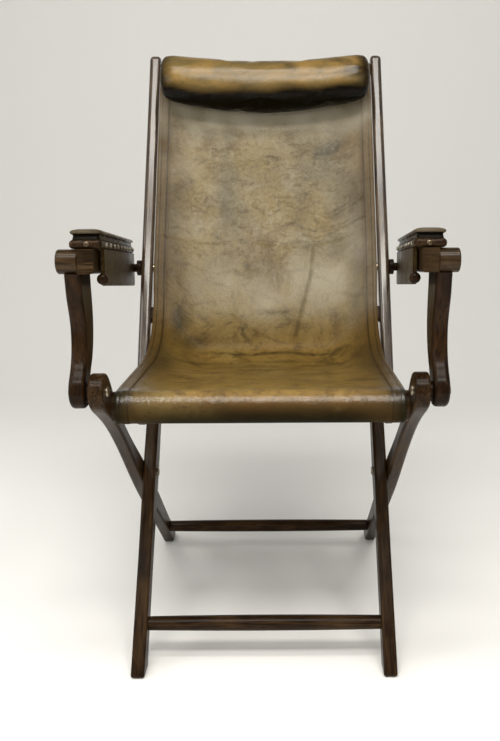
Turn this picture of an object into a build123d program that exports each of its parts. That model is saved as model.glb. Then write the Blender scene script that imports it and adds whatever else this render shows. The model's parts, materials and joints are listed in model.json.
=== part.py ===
from build123d import *
import os
from math import atan2, cos, degrees, radians, sin, tan

os.makedirs("parts", exist_ok=True)

# A folding steamer armchair: crossed legs, a reclined back, scrolled arms and one leather sling.
# Millimetres, +Z up. The chair faces -Y. "left" and "right" are as seen from its front.
# Side-view points are (y, z) pairs, and a lean is an angle from upright towards the back.

# Driving sizes of the frame
seat_width = 416.0            # between the inner faces of the rear legs
leg_thickness = 21.5          # across the chair, of every leg and stile
cross_y = -50.1               # where the legs cross, from the middle of the chair
cross_height = 269.0
front_leg_lean = 34.95
rear_leg_lean = -52.9         # its upper end points to the front
back_lean = 26.5
overrun = 5.0                 # how far a cut runs past the face it starts from

# Lengths along the legs, from the crossing
knuckle_reach = 338.3         # up to the arm pivot in the rear leg
seat_rail_setback = 52.5      # from the arm pivot down to the front seat rail
rear_stretcher_reach = 358.0  # down to the rear stretcher
back_pivot_reach = 118.0      # up to the back's pivot in the front leg
back_rail_reach = 212.0       # up to the rail that carries the rear of the seat
front_stretcher_reach = 252.0

# Depths of the legs, front to back
rear_leg_depth = 36.0
knuckle_radius = 25.5
rear_foot_depth = 31.0
front_leg_depth = 33.0
front_leg_boss_depth = 42.0
front_leg_top_radius = 16.0
front_foot_depth = 34.0
leg_edge_radius = 4.0
toe_radius = 9.0
heel_radius = 5.0

# The back, measured along its stiles from their pivot
stile_length = 704.0
stile_tail = 17.0             # below the pivot, to the middle of the rounded end
stile_bottom_radius = 14.0
stile_middle_depth = 31.0
stile_top_radius = 11.5
stile_edge_radius = 7.5
arm_pivot_reach = 266.0
lower_rail_reach = 175.0
lower_rail_height = 29.0
lower_rail_depth = 18.0
lower_rail_setback = 5.0      # behind the stiles' centre line
top_rail_drop = 18.0          # below the middle of the stile's rounded top

# Round rails and their tenons
stretcher_radius = 11.0
stretcher_swell = 1.5         # how much a stretcher is thicker at its middle
rail_crown = 0.1
front_rail_radius = 22.0
back_rail_radius = 14.0
top_rail_radius = 10.0
tenon_radius = 6.5
tenon_length = 13.0

# Pivots and fits
pin_radius = 4.0
fit_clearance = 0.05          # radial, of a pin or a tenon in its hole
joint_gap = 0.5               # between faces that turn on each other
seat_gap = 0.3                # between soft or round pieces and what they rest on
glue_line = 0.1
head_radius = 7.5
head_height = 3.0
rounding_share = 0.8          # of a head's height or a button's radius
washer_radius = 12.0
washer_thickness = 4.0

# Leather
leather_thickness = 3.2
sling_width = 407.0
seat_sag = 9.0
contact_turn = 32.0           # slope of the leather where it rests on the rear seat rail
back_leather_offset = 6.0     # in front of the stiles' centre line
leather_joint_reach = 168.0   # where the seat piece hands over to the back piece
wrap_turn = 285.0             # degrees of the front rail that the seat leather covers

# Head roll
roll_length = 402.0
roll_height = 112.0
roll_depth = 60.0
roll_drop = 47.0              # its ends below the top rail
roll_droop = 18.0             # how much further down its middle hangs
roll_gap = 1.6                # between its stuffed middle and the leather
roll_station_shares = (       # of its length, of its size and of its droop
    (-0.5, 0.58, 0.0), (-0.42, 0.90, 0.25), (0.0, 1.0, 1.0), (0.42, 0.90, 0.25), (0.5, 0.58, 0.0),
)

# Arms: the arm opens out and falls towards the back
support_thickness = 22.0
arm_front_ahead = 276.5       # ahead of the crossing
arm_board_length = 478.0
arm_board_width = 43.0
arm_board_thickness = 12.0
arm_pivot_drop = 27.1          # below the board's underside
arm_inner_front = 204.0       # from the middle of the chair to the board's inner edge
arm_toe_out = 4.96
arm_fall = 4.4
arm_end_radius = 7.0
arm_nose_radius = 5.5
pad_thickness = 14.0
pad_inset = 1.5
pad_length = 462.0
pad_crown_radius = 6.5
side_rail_thickness = 6.0
side_rail_inset = 0.5
side_rail_start = 29.0
side_rail_front_height = 49.0
side_rail_back_height = 60.0
side_rail_corner = 11.0
side_rail_edge = 2.0
button_radius = 7.5
button_length = 11.0
button_rise = 9.0             # its middle above the side rail's lower edge
arm_head_height = 32.5
scroll_width = 27.5
scroll_overhang = 9.0         # past the support's outer face
scroll_start = -8.0           # its front, ahead of the board's front end
arm_head_length = 54.0
scroll_edge_radius = 2.5
block_width = 22.0
block_setback = 4.0
block_corner = 5.0
support_foot_radius = 22.5
support_edge_radius = 6.5
collar_radius = 14.0
collar_thickness = 8.0
neck_radius = 7.5

# Front and back edges of the arm support. Each height is a share of the way from the knuckle pivot
# to the arm head, and each depth a share of that height, from the pivot, towards the back.
support_front_shares = ((0.20, -0.035), (0.42, 0.052), (0.58, 0.046), (0.80, -0.028), (1.0, -0.062))
support_back_shares = ((0.20, 0.245), (0.42, 0.355), (0.58, 0.380), (0.80, 0.368), (1.0, 0.355))


def along(start, lean, reach, forward=0.0):
    """Point at a reach up a leaning line, moved forward at right angles to it."""
    angle = radians(lean)
    return (
        start[0] + reach * sin(angle) - forward * cos(angle),
        start[1] + reach * cos(angle) + forward * sin(angle),
    )


def side_plane(x):
    """Plane across the chair at x, drawn with y to the back and z up."""
    return Plane.YZ.offset(x)


def leaning_bar(x, thickness, start, lean, stations, edge_radius, foot_radii=()):
    """Bar with round ends and edges through (reach, half depth) stations, cut flat if it has a foot."""
    front = [along(start, lean, reach, half) for reach, half in stations]
    back = [along(start, lean, reach, -half) for reach, half in stations]
    tip = along(start, lean, stations[-1][0] + stations[-1][1])
    heel = along(start, lean, stations[0][0] - stations[0][1])
    direction = (sin(radians(lean)), cos(radians(lean)))
    with BuildPart() as bar:
        with BuildSketch(side_plane(x)) as outline:
            with BuildLine():
                Line(front[0], front[1])
                Line(back[0], back[1])
                Spline(*front[1:], tangents=[direction, direction])
                Spline(*back[1:], tangents=[direction, direction])
                ThreePointArc(front[-1], tip, back[-1])
                ThreePointArc(front[0], heel, back[0])
            make_face()
            if foot_radii:
                with Locations((start[0], -stile_length)):
                    Rectangle(2 * stile_length, 2 * stile_length, mode=Mode.SUBTRACT)
                fillet(outline.vertices().group_by(Axis.Y)[0].sort_by(Axis.X)[0], foot_radii[0])
                fillet(outline.vertices().group_by(Axis.Y)[0].sort_by(Axis.X)[-1], foot_radii[1])
        extrude(amount=thickness)
        sides = bar.faces().filter_by(Axis.X)
        fillet(sides.edges(), edge_radius)
    return bar


def bore(part, x, places, radius, length):
    """The part with round holes along X, which start at x."""
    with BuildPart() as bored:
        add(part)
        with BuildSketch(side_plane(x)):
            with Locations(*places):
                Circle(radius)
        extrude(amount=length, mode=Mode.SUBTRACT)
    return bored


def turned(places, x, steps):
    """Round piece along X through steps of (length, radius), the same at each place."""
    with BuildPart() as piece:
        for y, z in places:
            reach = x
            for length, radius in steps:
                with BuildSketch(side_plane(reach)):
                    with Locations((y, z)):
                        Circle(radius)
                extrude(amount=length)
                reach += length
    return piece


def write_piece(piece, name):
    """Label a finished piece and write its file."""
    piece.part.label = name
    export_step(piece.part, f"parts/{name}.step")


def write_pair(piece, name):
    """Write a right-hand piece and its mirror image."""
    write_piece(piece, f"right_{name}")
    with BuildPart() as other:
        mirror(piece.part, about=Plane.YZ)
    write_piece(other, f"left_{name}")


# Places in the side view
crossing = (cross_y, cross_height)
knuckle = along(crossing, rear_leg_lean, knuckle_reach)
seat_rail = along(crossing, rear_leg_lean, knuckle_reach - seat_rail_setback)
rear_stretcher_place = along(crossing, rear_leg_lean, -rear_stretcher_reach)
back_pivot = along(crossing, front_leg_lean, back_pivot_reach)
back_rail = along(crossing, front_leg_lean, back_rail_reach)
front_stretcher_place = along(crossing, front_leg_lean, -front_stretcher_reach)
arm_pivot = along(back_pivot, back_lean, arm_pivot_reach)
lower_rail = along(back_pivot, back_lean, lower_rail_reach, -lower_rail_setback)
top_rail = along(back_pivot, back_lean, stile_length - top_rail_drop)

arm_front_y = cross_y - arm_front_ahead
arm_bottom_height = (             # underside of the board at its front end
    arm_pivot[1] + arm_pivot_drop + (arm_pivot[0] - arm_front_y) * tan(radians(arm_fall))
)

# Places across the chair
outer_plane = seat_width / 2                     # inner face of the rear legs and the stiles
outer_face = outer_plane + leg_thickness
inner_face = outer_plane - joint_gap             # outer face of the front legs
inner_plane = inner_face - leg_thickness
support_plane = outer_face + washer_thickness + joint_gap
support_face = support_plane + support_thickness
running_pin_hole = pin_radius + fit_clearance
tenon_hole = tenon_radius + fit_clearance

# Rear leg: knuckle at the front of the seat, foot at the back
rear_foot_reach = (cross_height + rear_leg_depth) / cos(radians(rear_leg_lean))
rear_leg_bar = leaning_bar(
    outer_plane, leg_thickness, crossing, rear_leg_lean,
    (
        (-rear_foot_reach, rear_foot_depth / 2),
        (-rear_stretcher_reach, rear_foot_depth / 2),
        (0.0, rear_leg_depth / 2),
        (knuckle_reach - rear_leg_depth, (rear_leg_depth + knuckle_radius) / 3),
        (knuckle_reach, knuckle_radius),
    ),
    leg_edge_radius, (heel_radius, toe_radius),
)
rear_leg = bore(
    rear_leg_bar.part, outer_plane - overrun, (crossing, knuckle), running_pin_hole,
    leg_thickness + 2 * overrun,
)
rear_leg = bore(
    rear_leg.part, outer_plane - overrun, (seat_rail, rear_stretcher_place), tenon_hole,
    tenon_length + fit_clearance + overrun,
)
write_pair(rear_leg, "rear_leg")

# Front leg: thickest at the crossing, with a rounded top behind the seat
front_foot_reach = (cross_height + front_leg_depth) / cos(radians(front_leg_lean))
front_leg_bar = leaning_bar(
    inner_plane, leg_thickness, crossing, front_leg_lean,
    (
        (-front_foot_reach, front_foot_depth / 2),
        (-front_stretcher_reach, front_foot_depth / 2),
        (-back_pivot_reach, front_leg_depth / 2),
        (0.0, front_leg_boss_depth / 2),
        (back_pivot_reach, front_leg_depth / 2),
        (back_rail_reach, front_leg_top_radius),
    ),
    leg_edge_radius, (heel_radius, heel_radius),
)
front_leg = bore(
    front_leg_bar.part, inner_plane - overrun, (crossing, back_pivot), running_pin_hole,
    leg_thickness + 2 * overrun,
)
front_leg = bore(
    front_leg.part, inner_plane - overrun, (back_rail, front_stretcher_place), tenon_hole,
    tenon_length + fit_clearance + overrun,
)
write_pair(front_leg, "front_leg")

# Back stile: a round tail below its pivot, and a slimmer rounded top
stile_bar = leaning_bar(
    outer_plane, leg_thickness, back_pivot, back_lean,
    (
        (-stile_tail, stile_bottom_radius),
        (0.0, stile_bottom_radius),
        (arm_pivot_reach, stile_middle_depth / 2),
        (stile_length, stile_top_radius),
    ),
    stile_edge_radius,
)
stile = bore(
    stile_bar.part, outer_plane - overrun, (back_pivot, arm_pivot), running_pin_hole,
    leg_thickness + 2 * overrun,
)
stile = bore(
    stile.part, outer_plane - overrun, (lower_rail, top_rail), tenon_hole,
    tenon_length + fit_clearance + overrun,
)
write_pair(stile, "back_stile")


def round_rail(place, half_width, radius, swell):
    """Turned rail across the chair with a tenon at each end and a slight swell at its middle."""
    y, z = place
    tenon_end = half_width + tenon_length
    with BuildPart() as rail:
        with BuildSketch(Plane.XY):
            with BuildLine():
                Polyline(
                    (0.0, 0.0), (tenon_end, 0.0), (tenon_end, tenon_radius),
                    (half_width, tenon_radius), (half_width, radius),
                )
                ThreePointArc(
                    (half_width, radius), (0.0, radius + swell), (-half_width, radius)
                )
                Polyline(
                    (-half_width, radius), (-half_width, tenon_radius),
                    (-tenon_end, tenon_radius), (-tenon_end, 0.0), (0.0, 0.0),
                )
            make_face()
        revolve(axis=Axis.X)
    with BuildPart() as placed:
        with Locations((0.0, y, z)):
            add(rail.part)
    return placed


write_piece(round_rail(rear_stretcher_place, outer_plane, stretcher_radius, stretcher_swell), "rear_stretcher")
write_piece(round_rail(front_stretcher_place, inner_plane, stretcher_radius, stretcher_swell), "front_stretcher")
write_piece(round_rail(seat_rail, outer_plane, front_rail_radius, rail_crown), "front_seat_rail")
write_piece(round_rail(back_rail, inner_plane, back_rail_radius, rail_crown), "rear_seat_rail")
write_piece(round_rail(top_rail, outer_plane, top_rail_radius, rail_crown), "top_rail")

# Lower back rail: a flat bar with round tenons
flat_rail_radius = lower_rail_depth / 3
rail_plane = Plane(
    origin=(-outer_plane, lower_rail[0], lower_rail[1]),
    x_dir=(0.0, sin(radians(back_lean)), cos(radians(back_lean))),
    z_dir=(1.0, 0.0, 0.0),
)
with BuildPart() as lower_back_rail:
    with BuildSketch(rail_plane):
        RectangleRounded(lower_rail_height, lower_rail_depth, flat_rail_radius)
    extrude(amount=seat_width)
    with BuildSketch(side_plane(-outer_plane - tenon_length)):
        with Locations(lower_rail):
            Circle(tenon_radius)
    extrude(amount=seat_width + 2 * tenon_length)
write_piece(lower_back_rail, "lower_back_rail")

# Pivot bolts: a head each side, the pin between. The head on the turning piece stands clear of it
cross_bolt = turned(
    (crossing,), inner_plane - seat_gap - head_height,
    (
        (head_height, head_radius),
        (outer_face - inner_plane + seat_gap, pin_radius),
        (head_height, head_radius),
    ),
)
back_bolt = turned(
    (back_pivot,), inner_plane - head_height,
    (
        (head_height, head_radius),
        (outer_face - inner_plane + seat_gap, pin_radius),
        (head_height, head_radius),
    ),
)
knuckle_bolt = turned(
    (knuckle,), outer_plane - head_height,
    (
        (head_height, head_radius),
        (support_face - outer_plane + seat_gap, pin_radius),
        (head_height, head_radius),
    ),
)
arm_bolt = turned(
    (arm_pivot,), outer_plane - head_height,
    ((head_height, head_radius), (leg_thickness, pin_radius)),
)


def domed(piece, radius):
    """The bolt with the outer rims of its heads rounded over."""
    with BuildPart() as bolt:
        add(piece.part)
        rims = bolt.edges().filter_by(GeomType.CIRCLE).filter_by(lambda edge: edge.radius > pin_radius)
        by_x = rims.sort_by(Axis.X)
        fillet([by_x[0]] if len(by_x) < 4 else [by_x[0], by_x[-1]], radius)
    return bolt


rim_radius = head_height * rounding_share
write_pair(domed(cross_bolt, rim_radius), "cross_bolt")
write_pair(domed(back_bolt, rim_radius), "back_bolt")
write_pair(domed(knuckle_bolt, rim_radius), "knuckle_bolt")
write_pair(domed(arm_bolt, rim_radius), "arm_bolt")

# Washer between the knuckle and the arm support
with BuildPart() as washer:
    with BuildSketch(side_plane(outer_face)):
        with Locations(knuckle):
            Circle(washer_radius)
            Circle(running_pin_hole, mode=Mode.SUBTRACT)
    extrude(amount=washer_thickness)
write_pair(washer, "knuckle_washer")

# Arm directions: along the arm, out from the chair, and up from the board
toe, fall = radians(arm_toe_out), radians(arm_fall)
arm_along = Vector(sin(toe) * cos(fall), cos(toe) * cos(fall), -sin(fall))
arm_out = Vector(cos(toe), -sin(toe), 0.0)
arm_up = arm_out.cross(arm_along)
arm_origin = Vector(arm_inner_front, arm_front_y, arm_bottom_height)
board_plane = Plane(origin=arm_origin, x_dir=arm_along, z_dir=arm_up)
board_top_plane = board_plane.offset(arm_board_thickness)
rail_side_plane = Plane(origin=arm_origin + arm_out * side_rail_inset, x_dir=arm_along, z_dir=arm_out)

# Arm board, with a bullnosed edge
with BuildPart() as arm_board:
    with BuildSketch(board_plane):
        with Locations((arm_board_length / 2, -arm_board_width / 2)):
            RectangleRounded(arm_board_length, arm_board_width, arm_end_radius)
    extrude(amount=arm_board_thickness)
    rims = arm_board.faces().sort_by(Axis.Z)
    fillet(rims[-1].edges() + rims[0].edges(), arm_nose_radius)
write_pair(arm_board, "arm_board")

# Arm pad: leather over stuffing, crowned along its top
with BuildPart() as arm_pad:
    with BuildSketch(board_top_plane):
        with Locations((arm_board_length / 2, -arm_board_width / 2)):
            RectangleRounded(pad_length, arm_board_width - 2 * pad_inset, arm_end_radius)
    extrude(amount=pad_thickness)
    fillet(arm_pad.faces().sort_by(Axis.Z)[-1].edges(), pad_crown_radius)
write_pair(arm_pad, "arm_pad")

# Side rail below the board's inner edge, deeper towards the back
rail_end = arm_board_length - side_rail_inset
with BuildPart() as side_rail_blank:
    with BuildSketch(rail_side_plane) as side_rail_face:
        with BuildLine():
            Polyline(
                (side_rail_start, -glue_line),
                (side_rail_start, -side_rail_front_height),
                (rail_end, -side_rail_back_height),
                (rail_end, -glue_line),
                close=True,
            )
        make_face()
        low_corners = side_rail_face.vertices().sort_by(Axis.Y)[:2]
        fillet(low_corners, side_rail_corner)
    extrude(amount=side_rail_thickness)
    chamfer(side_rail_blank.faces().sort_by(Axis.X)[0].edges().sort_by(Axis.Z)[:3], side_rail_edge / 2)
side_rail = bore(
    side_rail_blank.part, outer_face, (arm_pivot,), neck_radius + fit_clearance,
    support_thickness + support_face - outer_face,
)
write_pair(side_rail, "arm_side_rail")

# Peg that joins the arm to the back stile: a collar by the stile, and a neck in the side rail
peg_end = (
    arm_inner_front + side_rail_inset + side_rail_thickness
    + (arm_pivot[0] - arm_front_y) * tan(toe) + joint_gap
)
peg = turned(
    (arm_pivot,), outer_face + seat_gap,
    ((collar_thickness, collar_radius), (peg_end - outer_face - seat_gap - collar_thickness, neck_radius)),
)
with BuildPart() as arm_peg:
    add(peg.part)
    fillet(arm_peg.edges().filter_by(GeomType.CIRCLE).group_by(Axis.X)[0], head_height / 2)
write_pair(arm_peg, "arm_peg")

# Button on the front end of the side rail
button_center = (
    arm_origin + arm_along * side_rail_start
    + arm_out * (side_rail_inset + side_rail_thickness / 2)
    - arm_up * (side_rail_front_height - button_rise)
)
with BuildPart() as arm_button:
    with BuildSketch(Plane(origin=button_center, x_dir=arm_out, z_dir=-arm_along)):
        Circle(button_radius)
    extrude(amount=button_length)
    fillet(arm_button.edges().filter_by(GeomType.CIRCLE).sort_by(Axis.Y)[0], button_radius * rounding_share)
write_pair(arm_button, "arm_button")


def board_line(y, drop=0.0):
    """Side-view point below the board's underside at y, clear of it at the scroll's outer face."""
    reach = (y - arm_front_y) * cos(toe) + (support_face + scroll_overhang - arm_inner_front) * sin(toe)
    return (y, arm_bottom_height - reach * tan(fall) - glue_line - drop / cos(fall))


# Arm head: the scroll outside and the block inside, both under the board
head_back_y = arm_front_y + arm_head_length
scroll_radius = arm_head_height / 2
scroll_inner = support_face + scroll_overhang - scroll_width
scroll_front_y = arm_front_y + scroll_start
scroll_top_front = board_line(scroll_front_y + scroll_radius)
scroll_low_front = board_line(scroll_front_y + scroll_radius, arm_head_height)
scroll_nose = board_line(scroll_front_y, scroll_radius)
with BuildPart() as scroll_head:
    with BuildSketch(side_plane(scroll_inner)):
        with BuildLine():
            ThreePointArc(scroll_top_front, scroll_nose, scroll_low_front)
            Polyline(
                scroll_low_front, board_line(head_back_y, arm_head_height),
                board_line(head_back_y), scroll_top_front,
            )
        make_face()
    extrude(amount=scroll_width)
    fillet(scroll_head.faces().sort_by(Axis.X)[-1].edges(), scroll_edge_radius)
write_pair(scroll_head, "scroll_head")

block_inner = scroll_inner - glue_line - block_width
block_front_y = scroll_front_y + block_setback
with BuildPart() as arm_block:
    with BuildSketch(side_plane(block_inner)):
        with BuildLine():
            Polyline(
                board_line(block_front_y), board_line(block_front_y, arm_head_height),
                board_line(head_back_y, arm_head_height), board_line(head_back_y),
                close=True,
            )
        make_face()
    extrude(amount=block_width)
    low_inner = arm_block.edges().filter_by(Axis.X, reverse=True).group_by(Axis.X)[0].sort_by(Axis.Z)[0]
    fillet([low_inner], block_corner)
write_pair(arm_block, "arm_block")

# Arm support: an S-shaped board from the knuckle to the arm head
head_underside = board_line(knuckle[0], arm_head_height + glue_line)[1]
support_rise = head_underside - knuckle[1]


def support_edge(shares, start, skip_last_height):
    """Points of one edge of the support, the last one against the arm head."""
    points = [start]
    for height_share, depth_share in shares[:-1]:
        points.append((knuckle[0] + depth_share * support_rise, knuckle[1] + height_share * support_rise))
    top_y = knuckle[0] + shares[-1][1] * support_rise
    points.append(board_line(top_y, skip_last_height))
    return points


with BuildPart() as support_blank:
    with BuildSketch(side_plane(support_plane)):
        with BuildLine():
            foot_front = (knuckle[0] - support_foot_radius, knuckle[1])
            foot_back = (knuckle[0] + support_foot_radius, knuckle[1])
            front_edge = Spline(
                *support_edge(support_front_shares, foot_front, arm_head_height + glue_line),
                tangents=[(0.0, 1.0), (-0.2, 1.0)],
            )
            back_edge = Spline(
                *support_edge(support_back_shares, foot_back, arm_head_height + glue_line),
                tangents=[(0.0, 1.0), (0.0, 1.0)],
            )
            ThreePointArc(foot_front, (knuckle[0], knuckle[1] - support_foot_radius), foot_back)
            Line(front_edge @ 1, back_edge @ 1)
        make_face()
    extrude(amount=support_thickness)
    shaped = [
        edge
        for edge in support_blank.edges().filter_by(Axis.X, reverse=True)
        if edge.center().Z < head_underside - support_foot_radius / 2
    ]
    fillet(shaped, support_edge_radius)
support = bore(
    support_blank.part, support_plane - overrun, (knuckle,), running_pin_hole,
    support_thickness + 2 * overrun,
)
write_pair(support, "arm_support")

# Seat leather: wrapped round the front rail, sagging to the rear rail, then up to the back piece
leather_half = leather_thickness / 2
wrap_radius = front_rail_radius + seat_gap + leather_half
seat_start = (seat_rail[0], seat_rail[1] + wrap_radius)
contact_radius = front_leg_top_radius + seat_gap + leather_half
seat_bend = along(back_rail, -contact_turn, contact_radius)
bend_tangent = (cos(radians(contact_turn)), sin(radians(contact_turn)))
back_tangent = (sin(radians(back_lean)), cos(radians(back_lean)))
seat_top = along(back_pivot, back_lean, leather_joint_reach, back_leather_offset)
seat_middle = ((seat_start[0] + seat_bend[0]) / 2, (seat_start[1] + seat_bend[1]) / 2 - seat_sag)
with BuildPart() as seat_leather:
    with BuildSketch(side_plane(-sling_width / 2)):
        with BuildLine():
            CenterArc(seat_rail, wrap_radius, 90.0, wrap_turn)
            Spline(seat_start, seat_middle, seat_bend, tangents=[(1.0, 0.0), bend_tangent])
            Spline(seat_bend, seat_top, tangents=[bend_tangent, back_tangent])
        trace(line_width=leather_thickness)
    extrude(amount=sling_width)
write_piece(seat_leather, "seat_leather")

# Back leather: up the back in front of the rails, and over the top rail
top_wrap_radius = top_rail_radius + seat_gap + leather_half
back_start = along(back_pivot, back_lean, leather_joint_reach + seat_gap, back_leather_offset)
wrap_front = along(top_rail, back_lean, 0.0, top_wrap_radius)
wrap_over = along(top_rail, back_lean, top_wrap_radius)
wrap_back = along(top_rail, back_lean, 0.0, -top_wrap_radius)
with BuildPart() as back_leather:
    with BuildSketch(side_plane(-sling_width / 2)):
        with BuildLine():
            Line(back_start, wrap_front)
            ThreePointArc(wrap_front, wrap_over, wrap_back)
        trace(line_width=leather_thickness)
    extrude(amount=sling_width)
write_piece(back_leather, "back_leather")

# Head roll: a stuffed bolster in front of the leather, which hangs lower at its middle
roll_forward = top_wrap_radius + leather_half + roll_gap + roll_depth / 2
roll_x_dir = (0.0, sin(radians(back_lean)), cos(radians(back_lean)))
with BuildPart() as head_roll:
    for length_share, size_share, droop_share in roll_station_shares:
        roll_place = along(top_rail, back_lean, -roll_drop - droop_share * roll_droop, roll_forward)
        station = Plane(
            origin=(length_share * roll_length, *roll_place),
            x_dir=roll_x_dir, z_dir=(1.0, 0.0, 0.0),
        )
        with BuildSketch(station):
            Ellipse(size_share * roll_height / 2, size_share * roll_depth / 2)
    loft()
write_piece(head_roll, "head_roll")
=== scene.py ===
"""Looks of a folding steamer armchair: worn leather sling, head roll and arm pads on a dark wooden frame."""

import json
import logging
import math
from dataclasses import dataclass, field
from enum import Enum

import bmesh
import bpy
from mathutils import Euler, Matrix, Vector, noise

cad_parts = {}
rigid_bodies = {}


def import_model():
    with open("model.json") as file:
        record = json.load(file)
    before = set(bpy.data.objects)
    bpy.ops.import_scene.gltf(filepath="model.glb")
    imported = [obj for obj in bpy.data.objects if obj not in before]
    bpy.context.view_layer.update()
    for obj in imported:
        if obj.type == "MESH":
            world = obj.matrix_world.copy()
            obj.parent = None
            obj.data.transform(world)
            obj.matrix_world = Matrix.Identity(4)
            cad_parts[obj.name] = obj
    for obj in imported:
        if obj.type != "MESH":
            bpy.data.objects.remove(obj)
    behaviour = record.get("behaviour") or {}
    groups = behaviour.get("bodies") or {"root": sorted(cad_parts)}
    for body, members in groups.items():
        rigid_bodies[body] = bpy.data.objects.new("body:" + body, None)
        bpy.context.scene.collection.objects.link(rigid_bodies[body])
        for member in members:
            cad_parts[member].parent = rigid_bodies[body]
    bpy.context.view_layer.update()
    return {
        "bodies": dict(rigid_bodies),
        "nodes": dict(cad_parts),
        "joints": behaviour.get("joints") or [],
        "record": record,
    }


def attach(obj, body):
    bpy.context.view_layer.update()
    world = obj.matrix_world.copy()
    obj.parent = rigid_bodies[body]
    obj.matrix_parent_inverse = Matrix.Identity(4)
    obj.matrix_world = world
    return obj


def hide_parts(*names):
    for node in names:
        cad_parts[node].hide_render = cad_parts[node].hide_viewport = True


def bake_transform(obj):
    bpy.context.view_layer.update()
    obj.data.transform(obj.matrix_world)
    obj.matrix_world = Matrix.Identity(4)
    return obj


log = logging.getLogger("steamer_chair")

TONE = "tone"
PAINTED_SHEEN = "rub"
Colour = tuple[float, float, float]
Point = tuple[float, float]
Place = tuple[float, float, float]
Spots = tuple[tuple[float, float, float, float, float], ...]
Stops = list[tuple[float, float | Colour]]
BMesh = bmesh.types.BMesh
BMFace = bmesh.types.BMFace
Object = bpy.types.Object
Material = bpy.types.Material
Socket = bpy.types.NodeSocket
Inputs = dict[str | int, Socket | float | Colour]


class Side(Enum):
    """The two halves of the chair, by the sign of X."""

    LEFT = -1
    RIGHT = 1

    @property
    def prefix(self) -> str:
        """Start of the names of this side's pieces."""
        return self.name.lower()


class Part(Enum):
    """The two lengths of the sling, each on its own side of the rear seat rail."""

    SEAT = "seat_sling"
    BACK = "back_sling"


def clamp(value: float) -> float:
    """Keep a value between 0 and 1."""
    return min(1.0, max(0.0, value))


def bell(away: float, width: float, power: int = 2) -> float:
    """Give the height, up to 1, of a soft bump.

    Args:
        away: Distance from its middle.
        width: Distance at which it has mostly faded.
        power: An even number, larger for a flatter top.

    Returns:
        The height.
    """
    return math.exp(-((away / width) ** power))


def along(start: Point, lean: float, reach: float, forward: float = 0.0) -> Point:
    """Find a side-view point up a leaning line.

    Args:
        start: Where the line starts, as (y, z) in metres.
        lean: Angle from upright towards the back, in degrees.
        reach: Distance up the line.
        forward: Distance ahead of the line, at right angles to it.

    Returns:
        The point as (y, z) in metres.
    """
    angle = math.radians(lean)
    return (
        start[0] + reach * math.sin(angle) - forward * math.cos(angle),
        start[1] + reach * math.cos(angle) + forward * math.sin(angle),
    )


def arc(centre: Point, radius: float, start: float, turn: float, steps: int) -> list[Point]:
    """Place points round part of a circle.

    Args:
        centre: Its middle.
        radius: Its radius.
        start: Angle of the first point from +Y towards +Z, in degrees.
        turn: Angle from the first point to the last.
        steps: How many stretches the arc has.

    Returns:
        The points, both ends among them.
    """
    angles = [math.radians(start + turn * step / steps) for step in range(steps + 1)]
    return [(centre[0] + radius * math.cos(a), centre[1] + radius * math.sin(a)) for a in angles]


def straight(start: Point, end: Point, steps: int) -> list[Point]:
    """Place points evenly on a line, from after its start up to its end."""
    shares = [step / steps for step in range(1, steps + 1)]
    return [(start[0] + (end[0] - start[0]) * t, start[1] + (end[1] - start[1]) * t) for t in shares]


def hermite(start: Point, start_way: Point, end: Point, end_way: Point, steps: int) -> list[Point]:
    """Trace a smooth curve between two points.

    Args:
        start: First point.
        start_way: Direction and strength at the first point.
        end: Last point.
        end_way: Direction and strength at the last point.
        steps: How many stretches the curve has.

    Returns:
        Points after the first, up to the last.
    """
    points = []
    for step in range(1, steps + 1):
        t = step / steps
        weights = (2 * t**3 - 3 * t**2 + 1, t**3 - 2 * t**2 + t, -2 * t**3 + 3 * t**2, t**3 - t**2)
        pulls = zip(start, start_way, end, end_way)
        points.append(tuple(sum(w * pull for w, pull in zip(weights, axis)) for axis in pulls))
    return points


def running_lengths(curve: list[Point]) -> list[float]:
    """Give the length along a curve at each of its points.

    Args:
        curve: The curve's own points.

    Returns:
        Lengths from the first point, in metres.
    """
    lengths = [0.0]
    for first, second in zip(curve, curve[1:]):
        lengths.append(lengths[-1] + math.dist(first, second))
    return lengths


def even_steps(curve: list[Point], steps: int) -> list[Point]:
    """Place points at even lengths along a curve.

    Args:
        curve: The curve's own points.
        steps: How many stretches to cut it into.

    Returns:
        Points after the first, up to the last.
    """
    lengths = running_lengths(curve)
    points, index = [], 0
    for step in range(1, steps + 1):
        length = lengths[-1] * step / steps
        while index < len(curve) - 2 and lengths[index + 1] < length:
            index += 1
        share = (length - lengths[index]) / (lengths[index + 1] - lengths[index])
        first, second = curve[index], curve[index + 1]
        points.append(tuple(a + (b - a) * share for a, b in zip(first, second)))
    return points


def finish_piece(bm: BMesh, name: str, material: Material) -> Object:
    """Turn a shape into a smoothly shaded object at the origin.

    Args:
        bm: The finished shape, in the row frame.
        name: Name of the piece.
        material: What it is made of.

    Returns:
        The new object.
    """
    mesh = bpy.data.meshes.new(name)
    bm.to_mesh(mesh)
    bm.free()
    for polygon in mesh.polygons:
        polygon.use_smooth = True
    piece = bpy.data.objects.new(name, mesh)
    bpy.context.scene.collection.objects.link(piece)
    mesh.materials.append(material)
    return piece


def subdivide(piece: Object, levels: int) -> None:
    """Round a piece off with a live modifier.

    Args:
        piece: The piece.
        levels: How often its faces are divided.
    """
    smooth = piece.modifiers.new("smooth", "SUBSURF")
    smooth.levels = levels
    smooth.render_levels = levels


def bake_modifiers(piece: Object) -> None:
    """Apply every modifier of a piece to its mesh.

    Args:
        piece: The piece.
    """
    graph = bpy.context.evaluated_depsgraph_get()
    mesh = bpy.data.meshes.new_from_object(piece.evaluated_get(graph))
    old = piece.data
    piece.modifiers.clear()
    piece.data = mesh
    mesh.name = old.name
    bpy.data.meshes.remove(old)


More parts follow.
